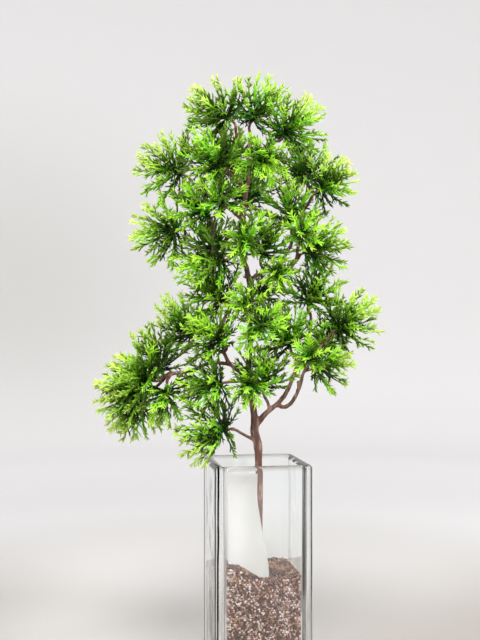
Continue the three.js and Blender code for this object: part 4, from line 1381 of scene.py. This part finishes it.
def add_flag(name, place, size):
    """A dark panel that only reflections show, for the dark lines at the glass's edges."""
    deselect()
    bpy.ops.mesh.primitive_plane_add(size=1, location=place)
    flag = bpy.context.object
    flag.scale = (size[0], size[1], 1)
    flag.rotation_euler = (math.pi / 2, 0, math.pi / 2 + BRANCH_TURN)
    finish = Finish(f"{name}_black")
    finish.set(base_color=(0.02, 0.02, 0.02), roughness=0.9)
    unseen = finish.node("ShaderNodeBsdfTransparent")
    reflected = finish.node("ShaderNodeLightPath", output="Glossy Depth").clamp()
    finish.blend(reflected, unseen, finish.surface.outputs[0])
    finished(flag, name, finish)
    flag.visible_camera = flag.visible_diffuse = flag.visible_shadow = False
    flag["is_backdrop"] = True


def place_camera():
    """A level camera in front of the vase, higher than its rim."""
    focal, width, height = 1022, 480, 640  # in pixels
    distance, aside, up = 847, 13.9, 316
    forward = Vector((-math.sin(BRANCH_TURN), math.cos(BRANCH_TURN), 0))
    right = Vector((math.cos(BRANCH_TURN), math.sin(BRANCH_TURN), 0))
    data = bpy.data.cameras.new("camera")
    data.sensor_width = 36
    data.clip_start, data.clip_end = 0.05, 20
    data.lens = focal * data.sensor_width / max(width, height)
    camera = bpy.data.objects.new("camera", data)
    bpy.context.collection.objects.link(camera)
    camera.location = (-distance * forward - aside * right + Vector((0, 0, up))) * MM
    camera.rotation_euler = (math.pi / 2, 0, BRANCH_TURN)
    bpy.context.scene.camera = camera


class MakeStage(bpy.types.Operator):
    """Make the floor, the lights and the camera"""

    bl_idname = "juniper.make_stage"
    bl_label = "Stage"

    def execute(self, context):
        settings = context.scene.juniper_stage
        floor = finished(make_floor(), "sweep", stage_finish(), smooth_angle=60)
        floor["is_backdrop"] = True
        add_area("key_light", (-0.24, -1.05, 1.4), (0.5, 0.5), settings.key)
        add_area("side_light", (0.95, -0.35, 0.9), (0.5, 1.0), settings.key * SIDE_SHARE)
        add_flag("flag_left", (-0.3, -0.02, 0.16), (0.15, 0.36))
        add_flag("flag_right", (0.3, -0.02, 0.16), (0.34, 0.36))
        world = bpy.data.worlds.new("studio")
        world.use_nodes = True
        sky = world.node_tree.nodes["Background"]
        sky.inputs["Color"].default_value = (1, 1, 1, 1)
        sky.inputs["Strength"].default_value = SKY
        context.scene.world = world
        context.scene.view_settings.view_transform = "Standard"
        place_camera()
        return {"FINISHED"}


OPERATORS = [MakeVase, MakeGravel, MakeSlip, MakeStem, MakeSprays, MakeStage]
SETTINGS = {
    "juniper_vase": VaseSettings,
    "juniper_gravel": GravelSettings,
    "juniper_slip": SlipSettings,
    "juniper_stem": StemSettings,
    "juniper_foliage": FoliageSettings,
    "juniper_stage": StageSettings,
}


class JuniperPanel(bpy.types.Panel):
    """Lists the pieces and what can be changed about them"""

    bl_idname = "VIEW3D_PT_juniper"
    bl_label = "Juniper in a glass vase"
    bl_space_type = "VIEW_3D"
    bl_region_type = "UI"
    bl_category = "Juniper"

    def draw(self, context):
        for operator in OPERATORS:
            self.layout.operator(operator.bl_idname)
        for name, kind in SETTINGS.items():
            box = self.layout.box()
            for prop in kind.__annotations__:
                box.prop(getattr(context.scene, name), prop)


def register():
    for name, kind in SETTINGS.items():
        bpy.utils.register_class(kind)
        setattr(bpy.types.Scene, name, bpy.props.PointerProperty(type=kind))
    for kind in (*OPERATORS, JuniperPanel):
        bpy.utils.register_class(kind)


def unregister():
    for kind in (*OPERATORS, JuniperPanel):
        bpy.utils.unregister_class(kind)
    for name, kind in SETTINGS.items():
        delattr(bpy.types.Scene, name)
        bpy.utils.unregister_class(kind)


def main():
    register()
    bpy.ops.juniper.make_vase()
    bpy.ops.juniper.make_gravel()
    bpy.ops.juniper.make_slip()
    bpy.ops.juniper.make_stem()
    bpy.ops.juniper.make_sprays()
    bpy.ops.juniper.make_stage()
    boxes = {"cad": CAD_BOX, "visual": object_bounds()}
    {name: [list(corner) for corner in box] for name, box in boxes.items()}


if __name__ == "__main__":
    main()
